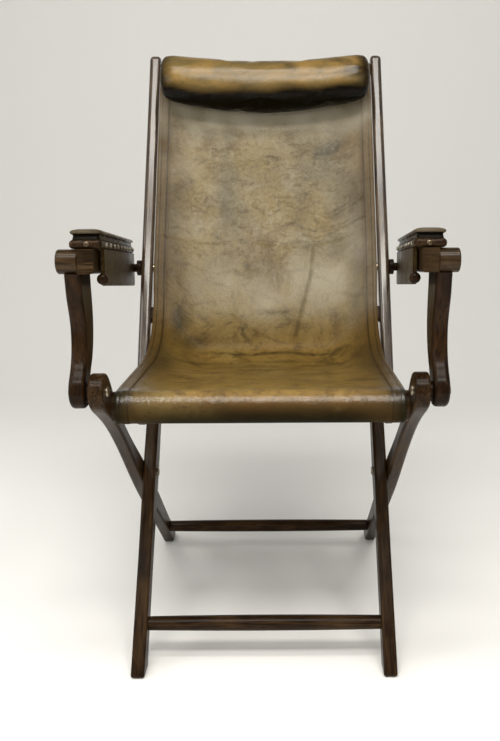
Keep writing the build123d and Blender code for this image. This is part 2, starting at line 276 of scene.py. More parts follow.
def swell(piece: Object, pressure: float, cap: float, frames: int = 20) -> None:
    """Swell a closed piece by a short cloth simulation.

    Args:
        piece: The piece.
        pressure: Pressure inside it.
        cap: The most that any of its points may move, in metres.
        frames: How long it swells.
    """
    scene = bpy.context.scene
    before = [vert.co.copy() for vert in piece.data.vertices]
    cloth = piece.modifiers.new("stuffing", "CLOTH")
    cloth.settings.use_pressure = True
    cloth.settings.uniform_pressure_force = pressure
    cloth.settings.effector_weights.gravity = 0.0
    cloth.settings.quality = 5
    for number in range(1, frames + 1):
        scene.frame_set(number)
    bake_modifiers(piece)
    scene.frame_set(1)
    for vert, start in zip(piece.data.vertices, before):
        step = vert.co - start
        if step.length > cap:
            vert.co = start + step * (cap / step.length)


class NodeBench:
    """Lays out the nodes of one material."""

    def __init__(self, name: str) -> None:
        """Start a material with its shader.

        Args:
            name: Name of the material.
        """
        self.material = bpy.data.materials.new(name)
        self.material.use_nodes = True
        self.tree = self.material.node_tree
        self.shader = self.tree.nodes["Principled BSDF"]

    def fill(self, node: bpy.types.Node, inputs: Inputs) -> None:
        """Link or set a node's inputs.

        Args:
            node: The node.
            inputs: What goes into each, by its name or number.
        """
        for key, value in inputs.items():
            socket = node.inputs[key]
            if isinstance(value, Socket):
                self.tree.links.new(value, socket)
            elif socket.type == "RGBA":
                socket.default_value = (*value, 1.0)
            else:
                socket.default_value = value

    def add(self, kind: str, inputs: Inputs, **settings: str) -> bpy.types.Node:
        """Add a node.

        Args:
            kind: Its kind.
            inputs: What goes into its inputs.
            settings: Its other settings.

        Returns:
            The node.
        """
        node = self.tree.nodes.new(f"ShaderNode{kind}")
        for key, value in settings.items():
            setattr(node, key, value)
        self.fill(node, inputs)
        return node

    def shine(self, specular: float, coat: float, roughness: float) -> None:
        """Set how strongly the surface and its polish mirror the light, wherever nothing is linked.

        Args:
            specular: Level of the surface's own reflections.
            coat: Strength of the polish.
            roughness: Roughness of the polish.
        """
        self.shader.inputs["Specular IOR Level"].default_value = specular
        self.shader.inputs["Coat Weight"].default_value = coat
        self.shader.inputs["Coat Roughness"].default_value = roughness

    def finish(self, inputs: Inputs) -> Material:
        """Link or set the shader's inputs.

        Args:
            inputs: What goes into each, by its name.

        Returns:
            The finished material.
        """
        self.fill(self.shader, inputs)
        return self.material

    def coordinates(self, kind: str) -> Socket:
        """Give the coordinates of that kind."""
        return self.add("TexCoord", {}).outputs[kind]

    def part_of(self, source: Socket, axis: str) -> Socket:
        """Give one coordinate of a vector."""
        return self.add("SeparateXYZ", {0: source}).outputs[axis]

    def tone(self, name: str = TONE) -> Socket:
        """Give the darkness or another value that the piece's own vertices carry, from 0 to 1."""
        return self.add("Attribute", {}, attribute_name=name).outputs["Fac"]

    def sum(self, how: str, first: Socket, second: Socket | float) -> Socket:
        """Work on two values by the sum of that name."""
        return self.add("Math", {0: first, 1: second}, operation=how).outputs[0]

    def mapped(self, source: Socket, turn: Colour = (0, 0, 0), scale: Colour = (1, 1, 1)) -> Socket:
        """Turn a pattern and then stretch it.

        Args:
            source: Coordinates to start from.
            turn: Angles about X, Y and Z, in radians.
            scale: Scale along X, Y and Z.

        Returns:
            The new coordinates.
        """
        turned = self.add("Mapping", {"Vector": source, "Rotation": turn}).outputs[0]
        return self.add("Mapping", {"Vector": turned, "Scale": scale}).outputs[0]

    def noise(
        self, source: Socket, scale: float, detail: float, rough: float, warp: float = 0.0
    ) -> Socket:
        """Make a cloudy pattern.

        Args:
            source: Coordinates.
            scale: How many clouds there are to a metre.
            detail: How many finer layers it has.
            rough: Strength of the finer layers.
            warp: How far the clouds are drawn out.

        Returns:
            A value from 0 to 1.
        """
        inputs = {"Vector": source, "Scale": scale, "Detail": detail, "Roughness": rough}
        return self.add("TexNoise", {**inputs, "Distortion": warp}).outputs["Fac"]

    def cracks(self, source: Socket, scale: float, width: float) -> Socket:
        """Make a net of fine cracks.

        Args:
            source: Coordinates.
            scale: How many cells there are to a metre.
            width: Width of a crack as a share of a cell.

        Returns:
            0 in the cracks and 1 between them.
        """
        inputs = {"Vector": source, "Scale": scale}
        cells = self.add("TexVoronoi", inputs, feature="DISTANCE_TO_EDGE")
        return self.ramp(cells.outputs["Distance"], [(0.0, 0.0), (width, 1.0)])

    def ramp(self, source: Socket, stops: Stops) -> Socket:
        """Turn a value into a colour or another value.

        Args:
            source: The value.
            stops: Places from 0 to 1 with their colours or values.

        Returns:
            The colour or value.
        """
        node = self.add("ValToRGB", {"Fac": source})
        elements = node.color_ramp.elements
        while len(elements) < len(stops):
            elements.new(0.5)
        for element, (place, value) in zip(elements, stops):
            element.position = place
            element.color = (*(value if isinstance(value, tuple) else (value,) * 3), 1.0)
        return node.outputs["Color"]

    def mix(self, share: Socket, first: Socket, second: Colour) -> Socket:
        """Mix a share of the second colour into the first."""
        inputs = {"Factor": share, "A": first, "B": second}
        return self.add("Mix", inputs, data_type="RGBA").outputs["Result"]

    def stain(
        self, colour: Socket, pattern: Socket, stops: Stops, tint: Colour, within: Socket | None = None
    ) -> Socket:
        """Stain a colour where a pattern says so.

        Args:
            colour: What is stained.
            pattern: A value from 0 to 1.
            stops: Strength of the stain at some of its values.
            tint: Colour of the stain.
            within: Share that may be stained.

        Returns:
            The stained colour.
        """
        share = self.ramp(pattern, stops)
        if within is not None:
            share = self.sum("MULTIPLY", share, within)
        return self.mix(share, colour, tint)

    def bump(self, height: Socket, strength: float, distance: float, below: Socket | None = None) -> Socket:
        """Raise the surface by a pattern.

        Args:
            height: The pattern.
            strength: Share of the effect.
            distance: Height in metres.
            below: Normal to start from.

        Returns:
            The new normal.
        """
        inputs = {"Height": height, "Strength": strength, "Distance": distance}
        if below is not None:
            inputs["Normal"] = below
        return self.add("Bump", inputs).outputs["Normal"]


@dataclass(frozen=True)
class WoodFinish:
    """Old stained hardwood with a worn polish.

    Attributes:
        name: Name of the material.
        lean: Direction of the grain from upright towards the back, in degrees.
        across: Whether the grain runs across the chair instead.
        dark: Colour of the stain.
        mid: Colour between the pores.
        worn: Colour where the stain has rubbed off.
        gloss: Strength of the polish.
        polish: Roughness of the polish.
        specular: Level of the wood's own reflections.
    """

    name: str
    lean: float = 0.0
    across: bool = False
    dark: Colour = (0.0050, 0.0024, 0.0010)
    mid: Colour = (0.0175, 0.0082, 0.0028)
    worn: Colour = (0.0500, 0.0265, 0.0095)
    gloss: float = 0.08
    polish: float = 0.16
    specular: float = 0.06

    def make(self) -> Material:
        """Lay out the grain, the worn patches and the polish.

        Returns:
            The material.
        """
        bench = NodeBench(self.name)
        place = bench.coordinates("Object")
        turn = (0.0, math.pi / 2, 0.0) if self.across else (math.radians(self.lean), 0.0, 0.0)
        grain = bench.noise(bench.mapped(place, turn, (90.0, 90.0, 5.0)), 1.6, 7.0, 0.62, 0.35)
        pores = bench.noise(bench.mapped(place, turn, (420.0, 420.0, 22.0)), 1.0, 3.0, 0.5)
        clouds = bench.noise(bench.mapped(place, turn, (9.0, 9.0, 5.0)), 1.7, 5.0, 0.6, 0.6)
        colour = bench.ramp(grain, [(0.30, self.dark), (0.52, self.mid), (0.74, self.worn)])
        colour = bench.stain(colour, clouds, [(0.42, 0.0), (0.70, 0.75)], self.worn)
        colour = bench.stain(colour, pores, [(0.36, 0.85), (0.50, 0.0)], self.dark)
        bench.shine(self.specular, self.gloss, self.polish)
        inputs = {
            "Base Color": colour,
            "Roughness": bench.ramp(clouds, [(0.25, 0.24), (0.75, 0.44)]),
            "Normal": bench.bump(grain, 0.30, 0.0004, bench.bump(clouds, 0.35, 0.0012)),
        }
        return bench.finish(inputs)


@dataclass(frozen=True)
class SlingFinish:
    """Polished old hide, ochre where it is rubbed, dark with stains and with painted shade, and with a
    painted highlight on the front rail.

    Attributes:
        name: Name of the material.
        half_width: Half the width of the sling, in metres.
        front: Length from the leather's start to the top of the front rail.
        bend: Length from its start to the foot of the back.
        total: Its whole length.
    """

    name: str
    half_width: float
    front: float
    bend: float
    total: float
    tan: Colour = (0.178, 0.124, 0.040)
    grey: Colour = (0.250, 0.218, 0.145)
    pale: Colour = (0.340, 0.310, 0.235)
    olive: Colour = (0.098, 0.084, 0.050)
    brown: Colour = (0.060, 0.034, 0.010)
    dark: Colour = (0.010, 0.008, 0.003)
    gloss: float = 0.10
    polish: float = 0.14
    specular: float = 0.15

    def zones(self) -> Stops:
        """Give the hide's colour along its length: painted shade under the front rail, a painted highlight on
        its top, and pale up the back.

        Returns:
            Lengths in metres with their colours.
        """
        return [
            # painted shade: the first four colours darken the hide round the underside of the front rail;
            # painted highlight: the fifth brightens its top
            (0.0, (0.006, 0.003, 0.001)),
            (self.front - 0.058, (0.012, 0.006, 0.001)),
            (self.front - 0.042, (0.036, 0.017, 0.003)),
            (self.front - 0.026, (0.108, 0.054, 0.009)),
            (self.front - 0.010, (0.250, 0.155, 0.040)),
            (self.front + 0.010, (0.175, 0.108, 0.018)),
            (self.front + 0.060, (0.174, 0.105, 0.022)),
            (self.bend - 0.020, (0.150, 0.091, 0.022)),
            (self.bend + 0.022, (0.150, 0.094, 0.026)),
            (self.bend + 0.065, (0.170, 0.122, 0.047)),
            (self.bend + 0.220, (0.166, 0.128, 0.064)),
            (self.total * 0.90, (0.164, 0.126, 0.062)),
        ]

    def by_length(self, bench: NodeBench, flat: Socket, stops: Stops) -> Socket:
        """Give a colour or value along the hide.

        Args:
            bench: Where the nodes go.
            flat: Coordinates on the flat hide.
            stops: Lengths in metres with their colours or values.

        Returns:
            The colour or value.
        """
        share = bench.sum("MULTIPLY", bench.part_of(flat, "Y"), 1.0 / self.total)
        return bench.ramp(share, [(length / self.total, value) for length, value in stops])

    def patches(self, bench: NodeBench, flat: Socket) -> Socket:
        """Mix the zones with patches, smears and fine cracks.

        Args:
            bench: Where the nodes go.
            flat: Coordinates on the flat hide.

        Returns:
            The colour.
        """
        clouds = bench.noise(bench.mapped(flat, scale=(1.0, 0.8, 1.0)), 11.0, 7.0, 0.66, 0.9)
        smears = bench.noise(bench.mapped(flat, scale=(0.9, 1.15, 1.0)), 15.0, 7.0, 0.68, 0.9)
        flecks = bench.noise(bench.mapped(flat, scale=(0.8, 1.2, 1.0)), 40.0, 7.0, 0.70, 0.6)
        areas = bench.noise(bench.mapped(flat, scale=(1.0, 0.7, 1.0)), 5.5, 4.0, 0.55, 0.5)
        fine = bench.noise(flat, 130.0, 6.0, 0.72, 0.5)
        back = self.by_length(bench, flat, [(self.bend + 0.0672, 0.0), (self.bend + 0.224, 1.0)])
        colour = self.by_length(bench, flat, self.zones())
        colour = bench.stain(colour, clouds, [(0.34, 0.65), (0.50, 0.0)], self.brown)
        colour = bench.stain(colour, clouds, [(0.56, 0.0), (0.74, 0.60)], self.tan)
        colour = bench.stain(colour, areas, [(0.50, 0.0), (0.64, 0.75)], self.tan)
        colour = bench.stain(colour, smears, [(0.50, 0.0), (0.68, 0.60)], self.grey, back)
        colour = bench.stain(colour, areas, [(0.38, 0.85), (0.52, 0.05)], self.olive, back)
        colour = bench.stain(colour, smears, [(0.30, 0.75), (0.43, 0.0)], self.dark)
        colour = bench.stain(colour, flecks, [(0.34, 0.70), (0.48, 0.0)], self.brown)
        colour = bench.stain(colour, fine, [(0.34, 0.40), (0.49, 0.0)], self.brown)
        return bench.stain(colour, fine, [(0.52, 0.0), (0.70, 0.20)], self.pale, back)

    def edges(self, bench: NodeBench, flat: Socket, colour: Socket) -> Socket:
        """Darken the hide with painted shade under the front rail, and darken it at its hems and along its
        stitches.

        Args:
            bench: Where the nodes go.
            flat: Coordinates on the flat hide.
            colour: Colour of the hide.

        Returns:
            The new colour.
        """
        # painted shade: the hide darkens towards the underside of the front rail
        under = [(-0.060, 1.0), (-0.049, 0.85), (-0.038, 0.60), (-0.028, 0.28), (-0.019, 0.0)]
        share = self.by_length(bench, flat, [(self.front + place, level) for place, level in under])
        colour = bench.mix(share, colour, self.dark)
        aside = bench.sum("ABSOLUTE", bench.part_of(flat, "X"), 0.0)
        edge = bench.sum("MULTIPLY", aside, 1.0 / self.half_width)
        hem = [(0.62, 0.0), (0.86, 0.45), (0.90, 0.90), (0.93, 0.76), (0.98, 0.80), (1.0, 0.93)]
        colour = bench.stain(colour, edge, hem, self.brown)
        seams = [(0.898, 0.0), (0.908, 0.75), (0.916, 0.0), (0.958, 0.0), (0.966, 0.65), (0.974, 0.0)]
        return bench.stain(colour, edge, seams, self.dark)

    def relief(self, bench: NodeBench, flat: Socket) -> Socket:
        """Raise grain, folds and a net of cracks, all finer over the front rail.

        Args:
            bench: Where the nodes go.
            flat: Coordinates on the flat hide.

        Returns:
            The normal.
        """
        calm = [(self.front - 0.05, 0.22), (self.front + 0.012, 0.22), (self.front + 0.05, 1.0)]
        calm = self.by_length(bench, flat, calm)
        wrinkles = bench.noise(bench.mapped(flat, scale=(1.0, 0.6, 1.0)), 30.0, 5.0, 0.6, 2.4)
        ridges = bench.ramp(wrinkles, [(0.42, 0.0), (0.50, 1.0), (0.58, 0.0)])
        drawn_out = bench.mapped(flat, scale=(1.0, 0.22, 1.0))
        net = bench.sum("MULTIPLY", bench.cracks(drawn_out, 330.0, 0.2), calm)
        fine = bench.sum("MULTIPLY", bench.noise(flat, 90.0, 6.0, 0.7, 0.4), calm)
        normal = bench.bump(bench.cracks(flat, 420.0, 0.25), 0.14, 0.0003)
        normal = bench.bump(ridges, 0.26, 0.0010, normal)
        normal = bench.bump(net, 0.26, 0.0004, normal)
        return bench.bump(fine, 0.26, 0.0010, normal)

    def make(self) -> Material:
        """Lay out the patches, the relief and the polish, which shines on the front rail alone.

        Returns:
            The material.
        """
        bench = NodeBench(self.name)
        flat = bench.coordinates("UV")
        colour = self.edges(bench, flat, self.patches(bench, flat))
        # painted sheen: pale colour mixed in where the vertices carry the painted glare spots and the light
        # band under the head roll
        colour = bench.mix(bench.tone(PAINTED_SHEEN), colour, self.pale)
        # the tone darkens the hide with its stains and with painted shade in the fold, the creases and by the
        # front rail
        colour = bench.mix(bench.tone(), colour, self.dark)
        normal = self.relief(bench, flat)
        polish = [
            (self.front - 0.034, 0.0), (self.front - 0.022, 0.70), (self.front - 0.006, 0.75),
            (self.front + 0.03, 0.06), (self.bend, 0.03),
        ]
        dull = [
            (self.front - 0.045, 0.02), (self.front - 0.020, 0.16), (self.bend - 0.08, 0.14),
            (self.bend - 0.02, 0.04), (self.bend + 0.05, 0.08), (self.bend + 0.11, 0.16),
        ]
        bench.shine(self.specular, self.gloss, self.polish)
        inputs = {
            "Base Color": colour,
            "Roughness": bench.ramp(bench.noise(flat, 14.0, 5.0, 0.6, 0.8), [(0.3, 0.46), (0.7, 0.30)]),
            "Normal": normal,
            "Coat Normal": normal,
            "Coat Weight": self.by_length(bench, flat, polish),
            "Specular IOR Level": self.by_length(bench, flat, dull),
        }
        return bench.finish(inputs)


@dataclass(frozen=True)
class RollFinish:
    """Polished hide of the stuffed pieces, darkened where their vertices say so, mostly with painted shade.

    Attributes:
        name: Name of the material.
        ochre: Colour where it is rubbed.
        olive: Colour of its duller patches.
        dark: Colour of its dark patches, and of the painted shade and darkening that its vertices ask for.
        gloss: Strength of the polish.
        polish: Roughness of the polish.
        specular: Level of the hide's own reflections.
    """

    name: str
    ochre: Colour
    olive: Colour
    dark: Colour
    gloss: float = 0.60
    polish: float = 0.27
    specular: float = 0.06

    def make(self) -> Material:
        """Lay out the patches and the grain of the hide.

        Returns:
            The material.
        """
        bench = NodeBench(self.name)
        place = bench.coordinates("Object")
        clouds = bench.noise(bench.mapped(place, scale=(0.6, 1.0, 1.2)), 19.0, 6.0, 0.64, 0.7)
        patches = bench.noise(bench.mapped(place, scale=(0.5, 1.0, 1.0)), 11.0, 4.0, 0.55, 0.4)
        fine = bench.noise(place, 120.0, 6.0, 0.7, 0.4)
        colour = bench.ramp(clouds, [(0.36, self.olive), (0.56, self.ochre)])
        colour = bench.stain(colour, patches, [(0.33, 0.88), (0.44, 0.0)], self.dark)
        colour = bench.stain(colour, fine, [(0.32, 0.3), (0.46, 0.0)], self.dark)
        grain = bench.bump(bench.cracks(place, 450.0, 0.25), 0.12, 0.0003)
        bench.shine(self.specular, self.gloss, self.polish)
        inputs = {
            # the tone mixes in painted shade: under and behind the head roll, and under the pads' lips
            "Base Color": bench.mix(bench.tone(), colour, self.dark),
            "Roughness": bench.ramp(clouds, [(0.3, 0.34), (0.7, 0.22)]),
            "Normal": bench.bump(fine, 0.10, 0.0010, grain),
            "Coat Weight": bench.ramp(bench.tone(), [(0.0, self.gloss), (0.8, self.gloss * 0.15)]),
        }
        return bench.finish(inputs)


@dataclass(frozen=True)
class MetalFinish:
    """Dull handled metal of the bolts, buttons and nails."""

    name: str
    bright: Colour = (0.42, 0.36, 0.27)
    dull: Colour = (0.10, 0.075, 0.05)

    def make(self) -> Material:
        """Lay out the tarnish.

        Returns:
            The material.
        """
        bench = NodeBench(self.name)
        tarnish = bench.noise(bench.coordinates("Object"), 220.0, 5.0, 0.6)
        inputs = {
            "Base Color": bench.ramp(tarnish, [(0.35, self.dull), (0.62, self.bright)]),
            "Roughness": bench.ramp(tarnish, [(0.3, 0.50), (0.7, 0.30)]),
            "Normal": bench.bump(tarnish, 0.2, 0.0004),
            "Metallic": 1.0,
        }
        return bench.finish(inputs)


@dataclass
class ChairFrame:
    """The wooden frame as the CAD has it, with its finishes and the places that the leather needs."""

    frame: dict
    back_lean: float = 26.5
    front_leg_lean: float = 34.95
    rear_leg_lean: float = -52.9
    arm_lean: float = 94.0
    seat_rail_reach: float = 0.2858
    back_rail_reach: float = 0.212
    top_rail_reach: float = 0.686

    def pivot(self, name: str) -> Point:
        """Give a joint's place in the side view."""
        joint = next(j for j in self.frame["record"]["behaviour"]["joints"] if j["name"] == name)
        return (joint["pos_m"][1], joint["pos_m"][2])

    @property
    def back_pivot(self) -> Point:
        """Foot of the back."""
        return self.pivot("back_fold")

    @property
    def seat_rail(self) -> Point:
        """Middle of the front seat rail."""
        return along(self.pivot("leg_fold"), self.rear_leg_lean, self.seat_rail_reach)

    @property
    def back_rail(self) -> Point:
        """Middle of the rear seat rail."""
        return along(self.pivot("leg_fold"), self.front_leg_lean, self.back_rail_reach)

    @property
    def top_rail(self) -> Point:
        """Middle of the top rail."""
        return along(self.back_pivot, self.back_lean, self.top_rail_reach)

    def woods(self) -> dict[tuple[str, ...], WoodFinish]:
        """Choose the finish of each kind of wooden piece.

        Returns:
            The finishes, by the ends of the pieces' names.
        """
        stile = WoodFinish(
            "stile_wood", lean=self.back_lean, mid=(0.036, 0.021, 0.010), worn=(0.090, 0.058, 0.030),
            gloss=0.8, specular=0.4,
        )
        support = WoodFinish("support_wood", mid=(0.0110, 0.0046, 0.0015), worn=(0.033, 0.015, 0.0044))
        side_rail = WoodFinish(
            "side_rail_wood", lean=self.arm_lean, dark=(0.008, 0.004, 0.001), mid=(0.022, 0.013, 0.003),
            worn=(0.050, 0.032, 0.010), gloss=0.03, specular=0.04,
        )
        head = WoodFinish(
            "arm_head_wood", across=True, mid=(0.025, 0.0132, 0.0044), worn=(0.066, 0.040, 0.017), gloss=0.2
        )
        return {
            ("rear_leg",): WoodFinish("rear_leg_wood", lean=self.rear_leg_lean),
            ("front_leg",): WoodFinish("front_leg_wood", lean=self.front_leg_lean),
            ("back_stile",): stile,
            ("arm_support", "arm_peg", "arm_button", "washer"): support,
            ("stretcher", "top_rail", "seat_rail", "back_rail"): WoodFinish("rail_wood", across=True),
            ("arm_board",): WoodFinish("arm_board_wood", lean=self.arm_lean),
            ("arm_side_rail",): side_rail,
            ("scroll_head", "arm_block"): head,
        }

    def dress(self) -> None:
        """Give every wooden and metal node its finish."""
        finishes = {ends: wood.make() for ends, wood in self.woods().items()}
        finishes[("bolt",)] = MetalFinish("dull_metal").make()
        for name, node in self.frame["nodes"].items():
            finish = next((finish for ends, finish in finishes.items() if name.endswith(ends)), None)
            if finish is None:
                continue
            if not node.material_slots:
                node.data.materials.append(finish)
            for place in node.material_slots:
                place.material = finish
            log.info("dressed %s in %s", name, finish.name)


@dataclass
class Sling:
    """The leather from under the front rail, over the rear seat rail and up to the top rail.

    Spots are soft-edged: distance from the middle, length from the bend, width, height and strength.
    Creases have a width, a height, a darkness of painted shade and a line of the same two coordinates.
    Rows of stitches have a distance from the edge, a width and a depth.
    The dark line of painted shade at the bend and the wrinkles where the chair is sat on have a place and a
    size.
    """

    chair: ChairFrame
    width: float = 0.407
    thickness: float = 0.0032
    front_radius: float = 0.0239
    contact_radius: float = 0.0179
    top_radius: float = 0.0119
    contact_turn: float = 32.0
    wrap_turn: float = 285.0
    wrap_steps: int = 44
    seat_steps: tuple[int, int] = (36, 40)
    bend_steps: int = 26
    back_steps: int = 150
    top_steps: int = 18
    sag: float = 0.009
    joint_reach: float = 0.168
    offset: float = 0.006
    edge_turn_start: float = -0.075
    edge_join_reach: float = 0.215
    edge_drop: float = 0.001
    edge_pull: float = 0.2
    edge_swing: float = 1.15
    edge_steps: tuple[int, int, int] = (60, 80, 60)
    edge_ahead: float = 0.0155
    edge_lead: float = 0.025
    back_spread: float = 0.0150
    spread_reach: float = 0.12
    edge_share: float = 0.095
    hem: float = 0.0185
    hem_rise: float = 0.0006
    hem_round: float = 0.002
    stitches: tuple[Place, ...] = ((0.0191, 0.0011, 0.0006), (0.0064, 0.0009, 0.0005))
    ripple: float = 0.0016
    wrinkle: float = 0.0004
    sat_wrinkle: float = 0.0014
    sat_place: Point = (0.05, 0.09)
    sat_size: float = 0.11
    relief_fade: float = 0.03
    front_calm: float = 0.12
    calm_start: float = 0.006
    calm_reach: float = 0.04
    line_place: Point = (0.012, -0.006)
    line_size: Point = (0.125, 0.0036)
    line_shade: float = 0.9
    end_shade: float = 0.95
    end_reach: float = 0.024
    end_past: float = 0.01
    crease_reach: float = 4.0
    crease_swell: float = 2.0
    crease_line: float = 0.55
    seat_blend: Point = (0.03, 0.022)
    back_blend: Point = (0.128, 0.24)
    crisp_angle: float = 0.9
    dark_spots: Spots = (
        (-0.158, 0.052, 0.016, 0.036, 0.72),
        (-0.120, 0.020, 0.050, 0.014, 0.50),
        (-0.172, -0.10, 0.020, 0.09, 0.45),
        (0.172, -0.10, 0.022, 0.10, 0.45),
        (0.165, 0.08, 0.018, 0.07, 0.35),
        (-0.030, -0.07, 0.060, 0.010, 0.40),
        (0.060, -0.12, 0.070, 0.009, 0.35),
        (-0.085, -0.16, 0.050, 0.012, 0.35),
        (0.020, 0.075, 0.030, 0.006, 0.45),
        (-0.120, -0.045, 0.055, 0.008, 0.50),
        (0.030, -0.036, 0.070, 0.006, 0.40),
        (0.105, -0.062, 0.050, 0.009, 0.45),
        (-0.020, -0.105, 0.090, 0.008, 0.34),
        (0.090, -0.175, 0.060, 0.010, 0.30),
        (-0.120, -0.215, 0.055, 0.010, 0.32),
        (0.020, -0.235, 0.080, 0.007, 0.28),
        (-0.172, 0.270, 0.026, 0.110, 0.36),
        (-0.178, 0.440, 0.024, 0.060, 0.34),
        (0.172, 0.150, 0.018, 0.070, 0.34),
        (-0.165, 0.150, 0.022, 0.050, 0.34),
        (0.176, 0.310, 0.020, 0.090, 0.26),
        (-0.075, 0.290, 0.018, 0.060, 0.26),
        (0.068, 0.300, 0.013, 0.100, 0.24),
        (0.080, 0.205, 0.018, 0.014, 0.40),
        (-0.010, 0.335, 0.060, 0.020, 0.18),
    )
    # painted sheen: pale spots stand in for glare on the back, and the wide band under the head roll is
    # painted light that lifts its shadow
    pale_spots: Spots = (
        (0.105, 0.125, 0.060, 0.055, 0.55),
        (0.000, 0.100, 0.045, 0.045, 0.40),
        (-0.075, 0.130, 0.050, 0.050, 0.30),
        (0.000, 0.476, 0.200, 0.032, 0.90),
        (-0.150, 0.365, 0.040, 0.035, 0.20),
        (0.165, 0.200, 0.025, 0.060, 0.30),
        (-0.140, 0.240, 0.040, 0.020, 0.12),
    )
    creases: tuple[tuple[float, float, float, tuple[Point, ...]], ...] = (
        (0.0060, 0.0036, 0.42, ((0.087, 0.200), (0.082, 0.145), (0.070, 0.096), (0.055, 0.034))),
        (0.0050, 0.0022, 0.25, ((-0.061, 0.116), (-0.054, 0.077), (-0.028, 0.054), (-0.001, 0.040))),
        (0.0040, 0.0014, 0.12, ((-0.200, 0.224), (-0.150, 0.219), (-0.075, 0.216))),
        (0.0038, 0.0018, 0.28, ((-0.014, 0.216), (0.046, 0.208), (0.102, 0.214), (0.153, 0.226))),
        (0.0040, 0.0018, 0.30, ((0.118, 0.268), (0.150, 0.285), (0.178, 0.302))),
        (0.0040, 0.0020, 0.34, ((0.105, 0.240), (0.140, 0.244), (0.180, 0.262))),
        (0.0045, 0.0014, 0.14, ((-0.077, 0.370), (-0.001, 0.384), (0.047, 0.380))),
        (0.0050, 0.0020, 0.18, ((0.020, 0.150), (0.026, 0.100), (0.048, 0.062))),
        (0.0045, 0.0016, 0.15, ((0.100, 0.150), (0.130, 0.120), (0.165, 0.105))),
        (0.0045, 0.0014, 0.12, ((-0.130, 0.170), (-0.090, 0.158), (-0.030, 0.165), (0.010, 0.156))),
        (0.0050, 0.0016, 0.15, ((0.064, 0.205), (0.095, 0.232), (0.140, 0.226))),
    )
    split: int = 0
    front_length: float = 0.0
    bend_length: float = 0.0
    lengths: dict[Part, float] = field(default_factory=dict)

    @property
    def back_width(self) -> float:
        """Width of the back, which is drawn a little closer to the stiles than the seat."""
        return self.width * (1.0 + self.back_spread)

    @property
    def bend_point(self) -> Point:
        """Where the leather lies on the rear seat rail."""
        return along(self.chair.back_rail, -self.contact_turn, self.contact_radius)

    @property
    def back_way(self) -> Point:
        """Direction up the back in the side view."""
        return along((0.0, 0.0), self.chair.back_lean, 1.0)

    def wraps(self) -> tuple[list[Point], list[Point]]:
        """Trace the leather round the front rail and over the top rail.

        Returns:
            Points from under the front rail to its top, and from the front of the top rail to its back.
        """
        chair = self.chair
        start = 90.0 + self.wrap_turn
        front = arc(chair.seat_rail, self.front_radius, start, -self.wrap_turn, self.wrap_steps)
        head = arc(chair.top_rail, self.top_radius, 180.0 - chair.back_lean, -180.0, self.top_steps)
        return front, head

    def middle_line(self) -> list[Point]:
        """Trace the worn middle, which lies on the rear seat rail.

        Returns:
            Side-view points from under the front rail to behind the top rail.
        """
        front, head = self.wraps()
        start, bend, way = front[-1], self.bend_point, self.back_way
        turn = math.radians(self.contact_turn)
        middle = ((start[0] + bend[0]) / 2, (start[1] + bend[1]) / 2 - self.sag)
        reach = (bend[0] - start[0]) / 2
        first, second = self.seat_steps
        down = (reach * math.cos(turn), reach * math.sin(turn))
        points = front + hermite(start, (reach, 0.0), middle, (reach, 0.0), first)
        points += hermite(middle, (reach, 0.0), bend, down, second)
        self.split = len(points) - 1
        join = along(self.chair.back_pivot, self.chair.back_lean, self.joint_reach, self.offset)
        gap = math.dist(bend, join)
        leave = (gap * math.cos(turn), gap * math.sin(turn))
        points += hermite(bend, leave, join, (gap * way[0], gap * way[1]), self.bend_steps)
        return points + straight(join, head[0], self.back_steps)[:-1] + head

    def edge_line(self, count: int) -> list[Point]:
        """Trace the stiff edges, which cut the corner between seat and back in a wide curve.

        Args:
            count: Number of points that the middle line has.

        Returns:
            As many side-view points, from under the front rail to behind the top rail.
        """
        front, head = self.wraps()
        start, way = front[-1], self.back_way
        flat_end = (self.edge_turn_start, start[1] - self.edge_drop)
        join = along(self.chair.back_pivot, self.chair.back_lean, self.edge_join_reach, self.offset)
        gap = math.dist(flat_end, join) * self.edge_swing
        level, rising, last = self.edge_steps
        curve = [start] + hermite(start, (self.edge_pull, 0.0), flat_end, (self.edge_pull, 0.0), level)
        curve += hermite(flat_end, (gap, 0.0), join, (gap * way[0], gap * way[1]), rising)
        curve += straight(join, head[0], last)
        cut = self.bend_point[0] - self.edge_ahead
        turn = next(index for index, point in enumerate(curve) if point[0] > cut)
        points = even_steps(curve[: turn + 1], self.split + 1 - len(front))
        points += even_steps(curve[turn:], count - len(head) - self.split)
        return front + points[:-1] + head

    def columns(self) -> list[float]:
        """Place the columns of faces across the leather, closer at the hems.

        Returns:
            Distances from the middle, from left to right.
        """
        half = self.width / 2
        edge = [0.0, 0.0012, 0.0030, 0.0050, 0.0062, 0.0074]
        edge += [0.0095, 0.0125, 0.0155, 0.0172, 0.0185, 0.0198, 0.0225]
        inner = half - edge.pop()
        middle = [-inner + 2 * inner * step / 90 for step in range(91)]
        return [-half + inset for inset in edge] + middle + [half - inset for inset in reversed(edge)]

    def inset(self, across: float) -> float:
        """Give the distance from the nearer edge."""
        return self.width / 2 - abs(across)

    def stiffness(self, across: float) -> float:
        """Share of the edge line in the leather's form at a distance from its middle."""
        share = max(0.0, 1.0 - self.inset(across) / self.edge_share)
        return share * share * (3.0 - 2.0 * share)

    def above_bend(self, across: float, length: float) -> float:
        """Give the distance above the bend, which is more at the stiff edges because they cut the corner.

        Args:
            across: Distance from the middle.
            length: Length along the leather.

        Returns:
            The distance, negative on the seat.
        """
        up = length - self.bend_length
        part = 1.0 - up / (self.edge_join_reach * 3.0) if up > 0 else (length / self.bend_length) ** 2
        return up + self.edge_lead * self.stiffness(across) * part

    def spread(self, length: float) -> float:
        """Give the width at a length as a share of the seat's."""
        return 1.0 + self.back_spread * clamp((length - self.bend_length) / self.spread_reach)

